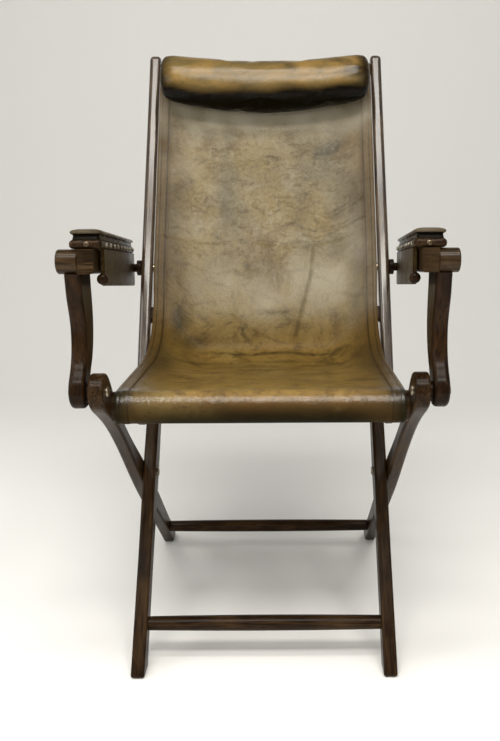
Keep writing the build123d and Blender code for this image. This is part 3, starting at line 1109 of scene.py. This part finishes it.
    def spotted(self, spots: Spots, across: float, length: float) -> float:
        """Work out how strongly soft-edged spots show at a place.

        Args:
            spots: The spots.
            across: Distance from the middle.
            length: Length along the leather.

        Returns:
            Strength from 0 to 1.
        """
        wobble = 0.5 * noise.noise(Vector((across * 30.0, length * 30.0, 5.5)))
        strongest, up = 0.0, self.above_bend(across, length)
        for spot_across, spot_length, wide, tall, strength in spots:
            reach = math.hypot((across - spot_across) / wide, (up - spot_length) / tall)
            strongest = max(strongest, strength * bell(reach + wobble, 1.0))
        return strongest

    def crease_at(self, across: float, length: float) -> tuple[float, float]:
        """Work out the pull creases of the back at a place.

        Args:
            across: Distance from the middle.
            length: Length along the leather.

        Returns:
            Height in metres, and darkness of painted shade from 0 to 1.
        """
        up = self.above_bend(across, length)
        height, dark = 0.0, 0.0
        stretches = ((*crease, *ends) for *crease, line in self.creases for ends in zip(line, line[1:]))
        for width, tall, shade, first, second in stretches:
            run = (second[0] - first[0], second[1] - first[1])
            size = run[0] ** 2 + run[1] ** 2
            share = clamp(((across - first[0]) * run[0] + (up - first[1]) * run[1]) / size)
            gap = (across - first[0] - share * run[0], up - first[1] - share * run[1])
            away = math.hypot(*gap)
            if away > self.crease_reach * width:
                continue
            aside = (gap[0] * run[1] - gap[1] * run[0]) / math.sqrt(size)
            swell_there = bell(aside - width, width) * bell(away, self.crease_swell * width)
            height = max(height, tall * swell_there)
            dark = max(dark, shade * bell(away, self.crease_line * width))
        return height, dark

    def darkness(self, across: float, length: float) -> float:
        """Work out how dark the leather is at a place: its stains, and painted shade along the fold at the
        bend, in the pull creases and at the hem ends by the front rail.

        Args:
            across: Distance from the middle.
            length: Length along the leather.

        Returns:
            Darkness from 0 to 1.
        """
        wave = 0.004 * math.sin(across * 48.0) + 0.003 * noise.noise(Vector((across * 40.0, 0.0, 1.0)))
        aside = across - self.line_place[0]
        up = length - self.bend_length - self.line_place[1] - wave
        line = bell(aside, self.line_size[0], 4) * bell(up, self.line_size[1])
        grit = 0.8 + 0.5 * noise.noise(Vector((across * 90.0, length * 90.0, 2.0)))
        broken = 0.7 + 0.5 * noise.noise(Vector((across * 60.0, length * 60.0, 8.0)))
        # painted shade along the bend's fold, in the pull creases and at the hem ends by the front rail; the
        # dark spots are stains
        shades = [
            self.spotted(self.dark_spots, across, length),
            self.line_shade * line * grit,
            self.crease_at(across, length)[1] * broken,
        ]
        if length < self.front_length + self.end_past:
            shades.append(self.end_shade * bell(self.inset(across), self.end_reach))
        return clamp(max(shades))

    def relief(self, across: float, length: float) -> float:
        """Work out how far the leather stands proud of its smooth form.

        Args:
            across: Distance from the middle.
            length: Length along the leather.

        Returns:
            Height in metres.
        """
        inset = self.inset(across)
        inside = clamp((inset - self.hem) / self.relief_fade)
        fold = self.hem_rise * min(1.0, inset / self.hem_round) if inset < self.hem else 0.0
        seams = sum(depth * bell(inset - row, width) for row, width, depth in self.stitches)
        soft = self.ripple * noise.noise(Vector((across * 7.0, length * 6.0, 2.3)))
        place = Vector((across * 22.0, length * 13.0, 7.1))
        ridges = noise.ridged_multi_fractal(place, 1.0, 2.1, 3, 0.9, 2.0) - 1.0
        up = length - self.bend_length - self.sat_place[1]
        sat_on = bell(up, self.sat_size) * bell(across - self.sat_place[0], self.sat_size)
        wrinkles = (self.wrinkle + self.sat_wrinkle * sat_on) * ridges
        height = fold - seams + (soft + wrinkles) * inside
        if inset > self.hem:
            past = length - self.front_length - self.calm_start
            height *= min(1.0, max(self.front_calm, past / self.calm_reach))
        return height + self.crease_at(across, length)[0]

    def build(self, finish: Material) -> list[Object]:
        """Build both lengths of the sling.

        Args:
            finish: The hide.

        Returns:
            The seat piece and the back piece.
        """
        points = self.middle_line()
        edge = self.edge_line(len(points))
        lengths = running_lengths(points)
        self.front_length, self.bend_length = lengths[self.wrap_steps], lengths[self.split]
        self.lengths = {Part.SEAT: self.bend_length, Part.BACK: lengths[-1] - self.bend_length}
        ranges = {Part.SEAT: (0, self.split), Part.BACK: (self.split, len(points) - 1)}
        return [self.sheet(part, points, edge, lengths, *ranges[part], finish) for part in Part]

    def sheet(
        self, part: Part, points: list[Point], edge: list[Point], lengths: list[float],
        first: int, last: int, finish: Material,
    ) -> Object:
        """Build one length of the sling.

        Args:
            part: Which length.
            points: The whole middle line.
            edge: The whole line of its edges.
            lengths: Length along the leather at each point.
            first: Its first point.
            last: Its last point.
            finish: The hide.

        Returns:
            The sheet.
        """
        normals = []
        for before, after in zip(points[:1] + points[:-1], points[1:] + points[-1:]):
            way = (after[0] - before[0], after[1] - before[1])
            size = math.hypot(*way)
            normals.append((-way[1] / size, way[0] / size))
        bm = bmesh.new()
        columns = self.columns()
        across_steps, long_steps = len(columns) - 1, last - first
        bmesh.ops.create_grid(bm, x_segments=across_steps, y_segments=long_steps, size=0.5)
        layer = bm.loops.layers.uv.new("flat")
        tone = bm.verts.layers.float.new(TONE)
        rub = bm.verts.layers.float.new(PAINTED_SHEEN)
        low = min(vert.co.x for vert in bm.verts)
        span = -2.0 * low
        flat = {}
        for vert in bm.verts:
            across = columns[round((vert.co.x - low) / span * across_steps)]
            index = first + round((vert.co.y - low) / span * long_steps)
            length, normal = lengths[index], normals[index]
            rise, share = self.relief(across, length), self.stiffness(across)
            place = [
                middle + (side - middle) * share + out * rise
                for middle, side, out in zip(points[index], edge[index], normal)
            ]
            vert.co = Vector((across * self.spread(length), *place))
            # tone: stains, and painted shade in the bend's fold, the creases and at the front rail's hem ends
            vert[tone] = self.darkness(across, length)
            # painted sheen: how strongly the pale glare spots and the light band under the head roll show
            # here
            vert[rub] = self.spotted(self.pale_spots, across, length)
            flat[vert] = (across, length)
        for face in bm.faces:
            for loop in face.loops:
                loop[layer].uv = flat[loop.vert]
        self.thicken(bm, normals[(first + last) // 2])
        piece = finish_piece(bm, part.value, finish)
        log.info("%s: %d faces", part.value, len(piece.data.polygons))
        return piece

    def thicken(self, bm: BMesh, outward: Point) -> None:
        """Give the sheet its thickness, with crisp edges round its rim.

        Args:
            bm: The sheet.
            outward: Side-view direction in which the middle of the sheet has to face.
        """
        bm.normal_update()
        centre = sum((vert.co for vert in bm.verts), Vector()) / len(bm.verts)
        face = min(bm.faces, key=lambda f: (f.calc_center_median() - centre).length)
        if face.normal.y * outward[0] + face.normal.z * outward[1] < 0:
            bmesh.ops.reverse_faces(bm, faces=bm.faces)
        bmesh.ops.solidify(bm, geom=list(bm.faces), thickness=self.thickness)
        bmesh.ops.recalc_face_normals(bm, faces=bm.faces)
        for edge in bm.edges:
            edge.smooth = len(edge.link_faces) == 2 and edge.calc_face_angle() < self.crisp_angle

    def hang(self, seat: Object, back: Object) -> None:
        """Hide the CAD's leather and bake both lengths' placement into their meshes.

        Args:
            seat: The seat piece.
            back: The back piece.
        """
        chair, bend = self.chair, self.bend_point
        behind, before = self.seat_blend
        start = (0.0, chair.seat_rail[0] + behind, bend[1])
        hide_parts("seat_leather")
        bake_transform(seat)
        low, high = (along(chair.back_pivot, chair.back_lean, reach) for reach in self.back_blend)
        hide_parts("back_leather")
        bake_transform(back)


@dataclass
class HeadRoll:
    """The stuffed leather bolster in front of the top of the sling.

    Attributes:
        chair: The frame that carries it.
        length: Its length across the chair.
        height: Its height up the back.
        depth: Its depth from front to back.
        drop: How far its ends hang below the top rail.
        droop: How much lower its middle hangs.
        forward: How far its middle is in front of the top rail.
        grain: Size of a face before it is smoothed.
        stations: Places along it, as shares of its length, with its size there.
        shades: Dark zones below, above, at the ends and behind, the zones below and behind being painted
            shade: start, wander, fade and strength.
        ripple: Height of its soft unevenness.
        wrinkle: Height of its fine folds.
        pleat: Height of the pleats at its ends.
        pleat_start: Share of its half length at which they start.
        pleat_turns: How closely they lie round it.
        pleat_drop: How far the middle of their fan is below the top rail.
        pleat_depth: How far back that middle is.
    """

    chair: ChairFrame
    length: float = 0.402
    height: float = 0.108
    depth: float = 0.076
    drop: float = 0.049
    droop: float = 0.024
    forward: float = 0.0520
    grain: float = 0.005
    stations: tuple[Point, ...] = (
        (-0.5, 0.30), (-0.492, 0.60), (-0.475, 0.77), (-0.44, 0.86), (-0.36, 0.91), (-0.18, 0.97),
    )
    shades: tuple[tuple[float, float, float, float], ...] = (
        (0.28, 0.18, 0.36, 1.0),
        (0.66, 0.30, 0.30, 0.50),
        (0.166, 0.016, 0.022, 0.90),
        (0.0, 0.0, 0.50, 1.0),
    )
    ripple: float = 0.0007
    wrinkle: float = 0.0004
    pleat: float = 0.0009
    pleat_start: float = 0.72
    pleat_turns: float = 26.0
    pleat_drop: float = 0.04
    pleat_depth: float = 0.28

    def centre(self, across: float) -> Point:
        """Give the middle of the roll in the side view at a distance from the chair's middle."""
        sag = self.droop * (1.0 - (2 * across / self.length) ** 2)
        return along(self.chair.top_rail, self.chair.back_lean, -self.drop - sag, self.forward)

    def ring(self, bm: BMesh, across: float, size: float) -> list[bmesh.types.BMEdge]:
        """Make one loop of edges round the roll.

        Args:
            bm: The roll.
            across: Its distance from the middle of the chair.
            size: Its size as a share of the full one.

        Returns:
            The loop's edges.
        """
        middle = self.centre(across)
        turn = Euler((-math.radians(self.chair.back_lean), 0.0, 0.0)).to_matrix()
        made = bmesh.ops.create_circle(bm, segments=40, radius=0.5)["verts"]
        for vert in made:
            spot = turn @ Vector((0.0, vert.co.x * self.depth * size, vert.co.y * self.height * size))
            vert.co = Vector((across, middle[0] + spot.y, middle[1] + spot.z))
        members = set(made)
        return [e for e in bm.edges if e.verts[0] in members and e.verts[1] in members]

    def build(self, finish: Material) -> Object:
        """Build the roll, swell it and give it creases.

        Args:
            finish: The hide.

        Returns:
            The roll.
        """
        bm = bmesh.new()
        stations = [*self.stations, (0.0, 1.0)]
        stations += [(-place, size) for place, size in reversed(self.stations)]
        rings = [self.ring(bm, place * self.length, size) for place, size in stations]
        for first, second in zip(rings, rings[1:]):
            bmesh.ops.bridge_loops(bm, edges=first + second)
        for ends in (rings[0], rings[-1]):
            bmesh.ops.edgeloop_fill(bm, edges=ends)
        bmesh.ops.recalc_face_normals(bm, faces=bm.faces)
        roll = finish_piece(bm, "stuffed_head_roll", finish)
        self.refine(roll)
        return roll

    def darkness(self, spot: Vector) -> float:
        """Work out how dark the roll is at a place: painted shade under it and behind it, and darker along
        its top edge and at its ends.

        Args:
            spot: The place.

        Returns:
            Darkness from 0 to 1.
        """
        middle = self.centre(spot.x)
        lean = math.radians(self.chair.back_lean)
        back, rise = spot.y - middle[0], spot.z - middle[1]
        high = (back * math.sin(lean) + rise * math.cos(lean)) / (self.height / 2)
        ahead = (rise * math.sin(lean) - back * math.cos(lean)) / (self.depth / 2)
        wobble = noise.noise(Vector((spot.x * 14.0, spot.y * 20.0, spot.z * 20.0)))
        reaches = (-high, high, abs(spot.x), -ahead)
        return max(
            strength * clamp((reach - start + wander * wobble) / fade)
            for reach, (start, wander, fade, strength) in zip(reaches, self.shades)
        )

    def refine(self, roll: Object) -> None:
        """Remesh the roll, swell it as cloth where time allows, and crease it.

        Args:
            roll: The roll.
        """
        remesh = roll.modifiers.new("even_mesh", "REMESH")
        remesh.mode = "VOXEL"
        remesh.voxel_size = self.grain
        bake_modifiers(roll)
        swell(roll, pressure=4.0, cap=0.006)
        lean = math.radians(self.chair.back_lean)
        out = Vector((0.0, -math.cos(lean), math.sin(lean)))
        tones = roll.data.attributes.new(TONE, "FLOAT", "POINT")
        for vert in roll.data.vertices:
            spot = vert.co.copy()
            # painted shade under and behind the roll, and darker along its top edge and at its ends
            tones.data[vert.index].value = self.darkness(spot)
            gather = max(0.0, abs(spot.x) / (self.length / 2) - self.pleat_start) / (1.0 - self.pleat_start)
            rise = spot.z - self.chair.top_rail[1] + self.pleat_drop
            pleats = math.sin(math.atan2(rise, self.pleat_depth - spot.y) * self.pleat_turns)
            soft = noise.noise(Vector((spot.x * 16.0, spot.y * 20.0, spot.z * 20.0)))
            place = Vector((spot.x * 26.0, spot.y * 10.0, spot.z * 12.0))
            fold = noise.ridged_multi_fractal(place, 1.0, 2.0, 3, 0.9, 2.0) - 1.0
            vert.co = spot + out * (self.ripple * soft + self.wrinkle * fold + self.pleat * gather * pleats)
        subdivide(roll, 1)
        for polygon in roll.data.polygons:
            polygon.use_smooth = True
        log.info("head roll: %d faces", len(roll.data.polygons))


@dataclass
class ArmTrim:
    """The stuffed pad on one arm and the nails round it.

    Each of the pad's steps has a rise and how far its edge moves in, and each of a nail's has a rise as a
    share of its radius and how much narrower it gets.
    """

    side: Side
    inner: float = 0.204
    front: float = -0.3266
    bottom: float = 0.6665
    toe_out: float = 4.96
    fall: float = 4.4
    board_length: float = 0.478
    board_width: float = 0.043
    board_thickness: float = 0.012
    pad_length: float = 0.462
    pad_inset: float = 0.0015
    pad_corner: float = 0.006
    pad_steps: tuple[Point, ...] = (
        (0.0004, 0.0016), (0.0030, 0.0010), (0.0028, 0.0002), (0.0012, -0.0024), (0.0010, -0.0014),
        (0.0018, -0.0004), (0.0016, 0.0012), (0.0012, 0.0026), (0.0008, 0.0040), (0.0005, 0.0050),
        (0.0002, 0.0030),
    )
    lip_height: float = 0.0078
    lip_shade: float = 0.97
    nail_radius: float = 0.0036
    nail_steps: tuple[Point, ...] = ((0.30, 0.95), (0.26, 0.72), (0.10, 0.45))
    nail_proud: float = 0.0001
    nail_count: int = 9
    nail_start: float = 0.050
    nail_spacing: float = 0.049
    front_nail_share: float = 0.46

    def place(self) -> Matrix:
        """Give the arm's own frame: out from the chair, along the arm, and up, from the board's front corner.

        Returns:
            The matrix to the row frame.
        """
        toe, fall = math.radians(self.toe_out), math.radians(self.fall)
        out = Vector((math.cos(toe), -math.sin(toe), 0.0))
        way = Vector((math.sin(toe) * math.cos(fall), math.cos(toe) * math.cos(fall), -math.sin(fall)))
        matrix = Matrix((out, way, out.cross(way))).transposed().to_4x4()
        matrix.translation = Vector((self.inner, self.front, self.bottom))
        if self.side is Side.LEFT:
            matrix = Matrix.Scale(-1.0, 4, Vector((1.0, 0.0, 0.0))) @ matrix
        return matrix

    def move(self, bm: BMesh) -> None:
        """Take a shape from the arm's frame to the row frame, facing outwards."""
        bmesh.ops.transform(bm, matrix=self.place(), verts=bm.verts)
        bmesh.ops.recalc_face_normals(bm, faces=bm.faces)

    def pad(self, finish: Material) -> Object:
        """Build the pad: its sides draw in above the board and its top spreads over them in a lip.

        Args:
            finish: The hide.

        Returns:
            The pad.
        """
        bm = bmesh.new()
        tone = bm.verts.layers.float.new(TONE)
        bmesh.ops.create_grid(bm, x_segments=1, y_segments=12, size=0.5)
        corners = [v for v in bm.verts if len(v.link_edges) == 2]
        size = (self.board_width - 2 * self.pad_inset, self.pad_length, 1.0)
        bmesh.ops.scale(bm, vec=size, verts=bm.verts)
        bmesh.ops.bevel(
            bm, geom=corners, offset=self.pad_corner, affect="VERTICES", segments=4, profile=0.5, material=-1
        )
        faces = list(bm.faces)
        for rise, inset in self.pad_steps:
            faces = self.step_up(bm, faces, rise, inset)
        # painted shade: the drawn-in sides under the lip are darkened through the tone
        for vert in bm.verts:
            vert[tone] = self.lip_shade if vert.co.z < self.lip_height else 0.0
        middle = Vector((self.board_width / 2, self.board_length / 2, self.board_thickness))
        bmesh.ops.translate(bm, verts=bm.verts, vec=middle)
        self.move(bm)
        pad = finish_piece(bm, f"{self.side.prefix}_stuffed_pad", finish)
        subdivide(pad, 2)
        return pad

    def step_up(self, bm: BMesh, faces: list[BMFace], rise: float, inset: float) -> list[BMFace]:
        """Extrude the pad's top by one step and draw it in or let it out.

        Args:
            bm: The pad, whose underside stays on the first step.
            faces: Its top faces.
            rise: Height of the step.
            inset: How far its edge moves in.

        Returns:
            The new top faces.
        """
        flat = len(faces) == len(bm.faces)
        made = bmesh.ops.extrude_face_region(bm, geom=faces, use_keep_orig=flat)["geom"]
        top = [g for g in made if isinstance(g, BMFace)]
        verts = list({v for f in top for v in f.verts})
        size = (1.0 - inset / (self.board_width / 2), 1.0 - inset / (self.pad_length / 2), 1.0)
        bmesh.ops.scale(bm, vec=size, verts=verts)
        bmesh.ops.translate(bm, verts=verts, vec=(0.0, 0.0, rise))
        return top

    def nail(self, bm: BMesh, spot: Vector, turn: Matrix) -> None:
        """Raise one round-headed nail.

        Args:
            bm: Where the nail goes.
            spot: Middle of its seat, in the arm's frame.
            turn: Rotation from upright.
        """
        radius = self.nail_radius
        verts = bmesh.ops.create_circle(bm, cap_ends=True, segments=12, radius=radius)["verts"]
        whole = list(verts)
        faces = [verts[0].link_faces[0]]
        for rise, share in self.nail_steps:
            made = bmesh.ops.extrude_face_region(bm, geom=faces)["geom"]
            faces = [g for g in made if isinstance(g, BMFace)]
            verts = [g for g in made if isinstance(g, bmesh.types.BMVert)]
            bmesh.ops.scale(bm, vec=(share, share, 1.0), verts=verts)
            bmesh.ops.translate(bm, verts=verts, vec=(0.0, 0.0, rise * radius))
            whole += verts
        bmesh.ops.transform(bm, matrix=Matrix.Translation(spot) @ turn, verts=whole)

    def nails(self, bright: Material, dull: Material) -> list[Object]:
        """Build the nails along the board's inner edge and the one in its front end.

        Args:
            bright: Metal of the row.
            dull: Metal of the one in front.

        Returns:
            The row as one piece, and the front nail.
        """
        inward, forward = Matrix.Rotation(-math.pi / 2, 4, "Y"), Matrix.Rotation(math.pi / 2, 4, "X")
        half = self.board_thickness / 2
        row, front = bmesh.new(), bmesh.new()
        for index in range(self.nail_count):
            reach = self.nail_start + self.nail_spacing * index
            self.nail(row, Vector((self.nail_proud, reach, half)), inward)
        aside = self.board_width * self.front_nail_share
        self.nail(front, Vector((aside, self.nail_proud, half)), forward)
        self.move(row)
        self.move(front)
        prefix = self.side.prefix
        return [
            finish_piece(row, f"{prefix}_arm_edge_nails", bright),
            finish_piece(front, f"{prefix}_arm_front_nail", dull),
        ]

    def build(self, hide: Material, bright: Material, dull: Material) -> None:
        """Build and fasten this arm's pad and nails.

        Args:
            hide: Finish of the pad.
            bright: Finish of the row of nails.
            dull: Finish of the front nail.
        """
        body = f"{self.side.prefix}_arm"
        pad = self.pad(hide)
        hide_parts(f"{body}_pad")
        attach(pad, body)
        for nail in self.nails(bright, dull):
            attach(nail, body)
        log.info("%s: pad and nails", body)


@dataclass(frozen=True)
class Lamp:
    """One soft lamp that points at the chair.

    Attributes:
        name: Name of the lamp.
        place: Where it hangs.
        size: Width and height of its panel.
        power: Power in watts.
        colour: Colour of its light.
        mirrored: Whether it shows in polished surfaces.
        target: Where it points.
    """

    name: str
    place: Place
    size: Point
    power: float
    colour: Colour
    mirrored: bool = True
    target: Place = (0.0, 0.0, 0.5)

    def hang(self) -> None:
        """Hang the lamp."""
        data = bpy.data.lights.new(self.name, "AREA")
        data.shape = "RECTANGLE"
        data.size, data.size_y = self.size
        data.energy = self.power
        data.color = self.colour
        lamp = bpy.data.objects.new(self.name, data)
        lamp.visible_glossy = self.mirrored
        lamp.location = self.place
        aim = Vector(self.target) - Vector(self.place)
        lamp.rotation_euler = aim.to_track_quat("-Z", "Y").to_euler()
        bpy.context.scene.collection.objects.link(lamp)


@dataclass
class Studio:
    """Plain pale room, soft light and the camera of the photograph."""

    focal: float = 836.86
    centre_x: float = 285.08
    place: Place = (0.03221, -1.42899, 0.73039)
    yaw: float = 0.00209
    pitch: float = 0.20354
    roll: float = -0.00494
    width: int = 500
    height: int = 741
    sensor: float = 24.0
    far: float = 50.0
    floor: Colour = (0.88, 0.875, 0.86)
    air: Colour = (1.0, 0.98, 0.95)
    air_strength: float = 0.28
    sweep_front: float = -3.0
    sweep_flat: float = 4.6
    sweep_radius: float = 1.6
    sweep_length: float = 10.5
    sweep_width: float = 6.0
    sweep_drop: float = 0.0005
    lamps: tuple[Lamp, ...] = (
        Lamp("key", (0.05, -1.9, 2.75), (2.2, 0.5), 50.0, (1.0, 0.965, 0.89)),
        Lamp("top", (0.0, -1.0, 3.0), (2.4, 0.5), 42.0, (1.0, 0.975, 0.92)),
        Lamp("window", (-1.9, -0.9, 1.5), (1.2, 1.2), 15.0, (1.0, 0.99, 0.97)),
        Lamp("side", (2.0, -1.3, 1.7), (0.8, 0.8), 4.0, (1.0, 0.98, 0.95)),
        Lamp("fill", (-0.2, -2.3, 0.85), (2.4, 1.2), 26.0, (1.0, 0.97, 0.91), mirrored=False),
    )

    def camera(self) -> None:
        """Place the camera."""
        level = math.cos(self.pitch)
        ahead = Vector((math.sin(self.yaw) * level, math.cos(self.yaw) * level, -math.sin(self.pitch)))
        right = Vector((math.cos(self.yaw), -math.sin(self.yaw), 0.0))
        up = right.cross(ahead)
        tilted = right * math.cos(self.roll) + up * math.sin(self.roll)
        upright = up * math.cos(self.roll) - right * math.sin(self.roll)
        matrix = Matrix((tilted, upright, -ahead)).transposed().to_4x4()
        matrix.translation = Vector(self.place)
        data = bpy.data.cameras.new("camera")
        data.sensor_fit = "VERTICAL"
        data.sensor_height = self.sensor
        data.lens = self.focal * data.sensor_height / self.height
        data.shift_x = (self.width / 2 - self.centre_x) / self.height
        data.clip_end = self.far
        camera = bpy.data.objects.new("camera", data)
        camera.matrix_world = matrix
        bpy.context.scene.collection.objects.link(camera)
        bpy.context.scene.camera = camera

    def sweep_point(self, length: float) -> Point:
        """Find a side-view point on the floor or the backdrop.

        Args:
            length: Length from the floor's front edge, along it and up the backdrop.

        Returns:
            The point as (y, z) in metres.
        """
        radius, end = self.sweep_radius, self.sweep_front + self.sweep_flat
        turn = (length - self.sweep_flat) / radius
        if turn <= 0:
            return (self.sweep_front + length, -self.sweep_drop)
        if turn >= math.pi / 2:
            return (end + radius, radius + (turn - math.pi / 2) * radius)
        return (end + radius * math.sin(turn), radius * (1.0 - math.cos(turn)) - self.sweep_drop)

    def backdrop(self) -> None:
        """Make the floor, which sweeps up into the backdrop."""
        inputs = {"Base Color": self.floor, "Roughness": 0.75, "Specular IOR Level": 0.2}
        paper = NodeBench("pale_backdrop").finish(inputs)
        bm = bmesh.new()
        bmesh.ops.create_grid(bm, x_segments=1, y_segments=40, size=0.5)
        low = min(vert.co.y for vert in bm.verts)
        for vert in bm.verts:
            length = (vert.co.y - low) / (-2.0 * low) * self.sweep_length
            across = self.sweep_width * (1.0 if vert.co.x > 0 else -1.0)
            vert.co = Vector((across, *self.sweep_point(length)))
        bmesh.ops.recalc_face_normals(bm, faces=bm.faces)
        finish_piece(bm, "backdrop", paper)

    def surroundings(self) -> None:
        """Light the room softly from all round, and show the camera the floor's colour behind it."""
        world = bpy.data.worlds.new("surroundings")
        bpy.context.scene.world = world
        world.use_nodes = True
        nodes, links = world.node_tree.nodes, world.node_tree.links
        light = nodes["Background"]
        light.inputs["Color"].default_value = (*self.air, 1.0)
        light.inputs["Strength"].default_value = self.air_strength
        seen = nodes.new("ShaderNodeBackground")
        seen.inputs["Color"].default_value = (*self.floor, 1.0)
        path = nodes.new("ShaderNodeLightPath")
        straight_on = nodes.new("ShaderNodeMath")
        straight_on.operation = "MAXIMUM"
        mix = nodes.new("ShaderNodeMixShader")
        links.new(path.outputs["Is Camera Ray"], straight_on.inputs[0])
        links.new(path.outputs["Is Transmission Ray"], straight_on.inputs[1])
        for number, source in enumerate((straight_on, light, seen)):
            links.new(source.outputs[0], mix.inputs[number])
        links.new(mix.outputs[0], nodes["World Output"].inputs["Surface"])

    def build(self) -> None:
        """Make the room, the camera and the lamps."""
        self.backdrop()
        self.surroundings()
        self.camera()
        for lamp in self.lamps:
            lamp.hang()
        bpy.context.scene.view_settings.view_transform = "Standard"


def main() -> None:
    """Dress the frame, build the leather and light the scene."""
    logging.basicConfig(level=logging.INFO)
    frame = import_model()
    chair = ChairFrame(frame)
    chair.dress()
    sling = Sling(chair)
    hide = SlingFinish("sling_hide", half_width=sling.width / 2, front=0.119, bend=0.464, total=1.12)
    sling.hang(*sling.build(hide.make()))
    log.info("front %.3f, bend %.3f, lengths %s", sling.front_length, sling.bend_length, sling.lengths)
    roll_hide = RollFinish(
        "roll_hide", ochre=(0.195, 0.118, 0.030), olive=(0.105, 0.072, 0.022), dark=(0.003, 0.0018, 0.0006)
    )
    roll = HeadRoll(chair).build(roll_hide.make())
    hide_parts("head_roll")
    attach(roll, "back_frame")
    pad_hide = RollFinish(
        "pad_hide", ochre=(0.080, 0.061, 0.037), olive=(0.046, 0.034, 0.019), dark=(0.003, 0.002, 0.001),
        gloss=0.03, specular=0.05,
    ).make()
    bright = MetalFinish("row_nail_metal", bright=(0.74, 0.70, 0.60), dull=(0.24, 0.21, 0.16)).make()
    dull = MetalFinish("front_nail_metal", bright=(0.22, 0.17, 0.11), dull=(0.05, 0.035, 0.02)).make()
    for side in Side:
        ArmTrim(side).build(pad_hide, bright, dull)
    Studio().build()


if __name__ == "__main__":
    main()
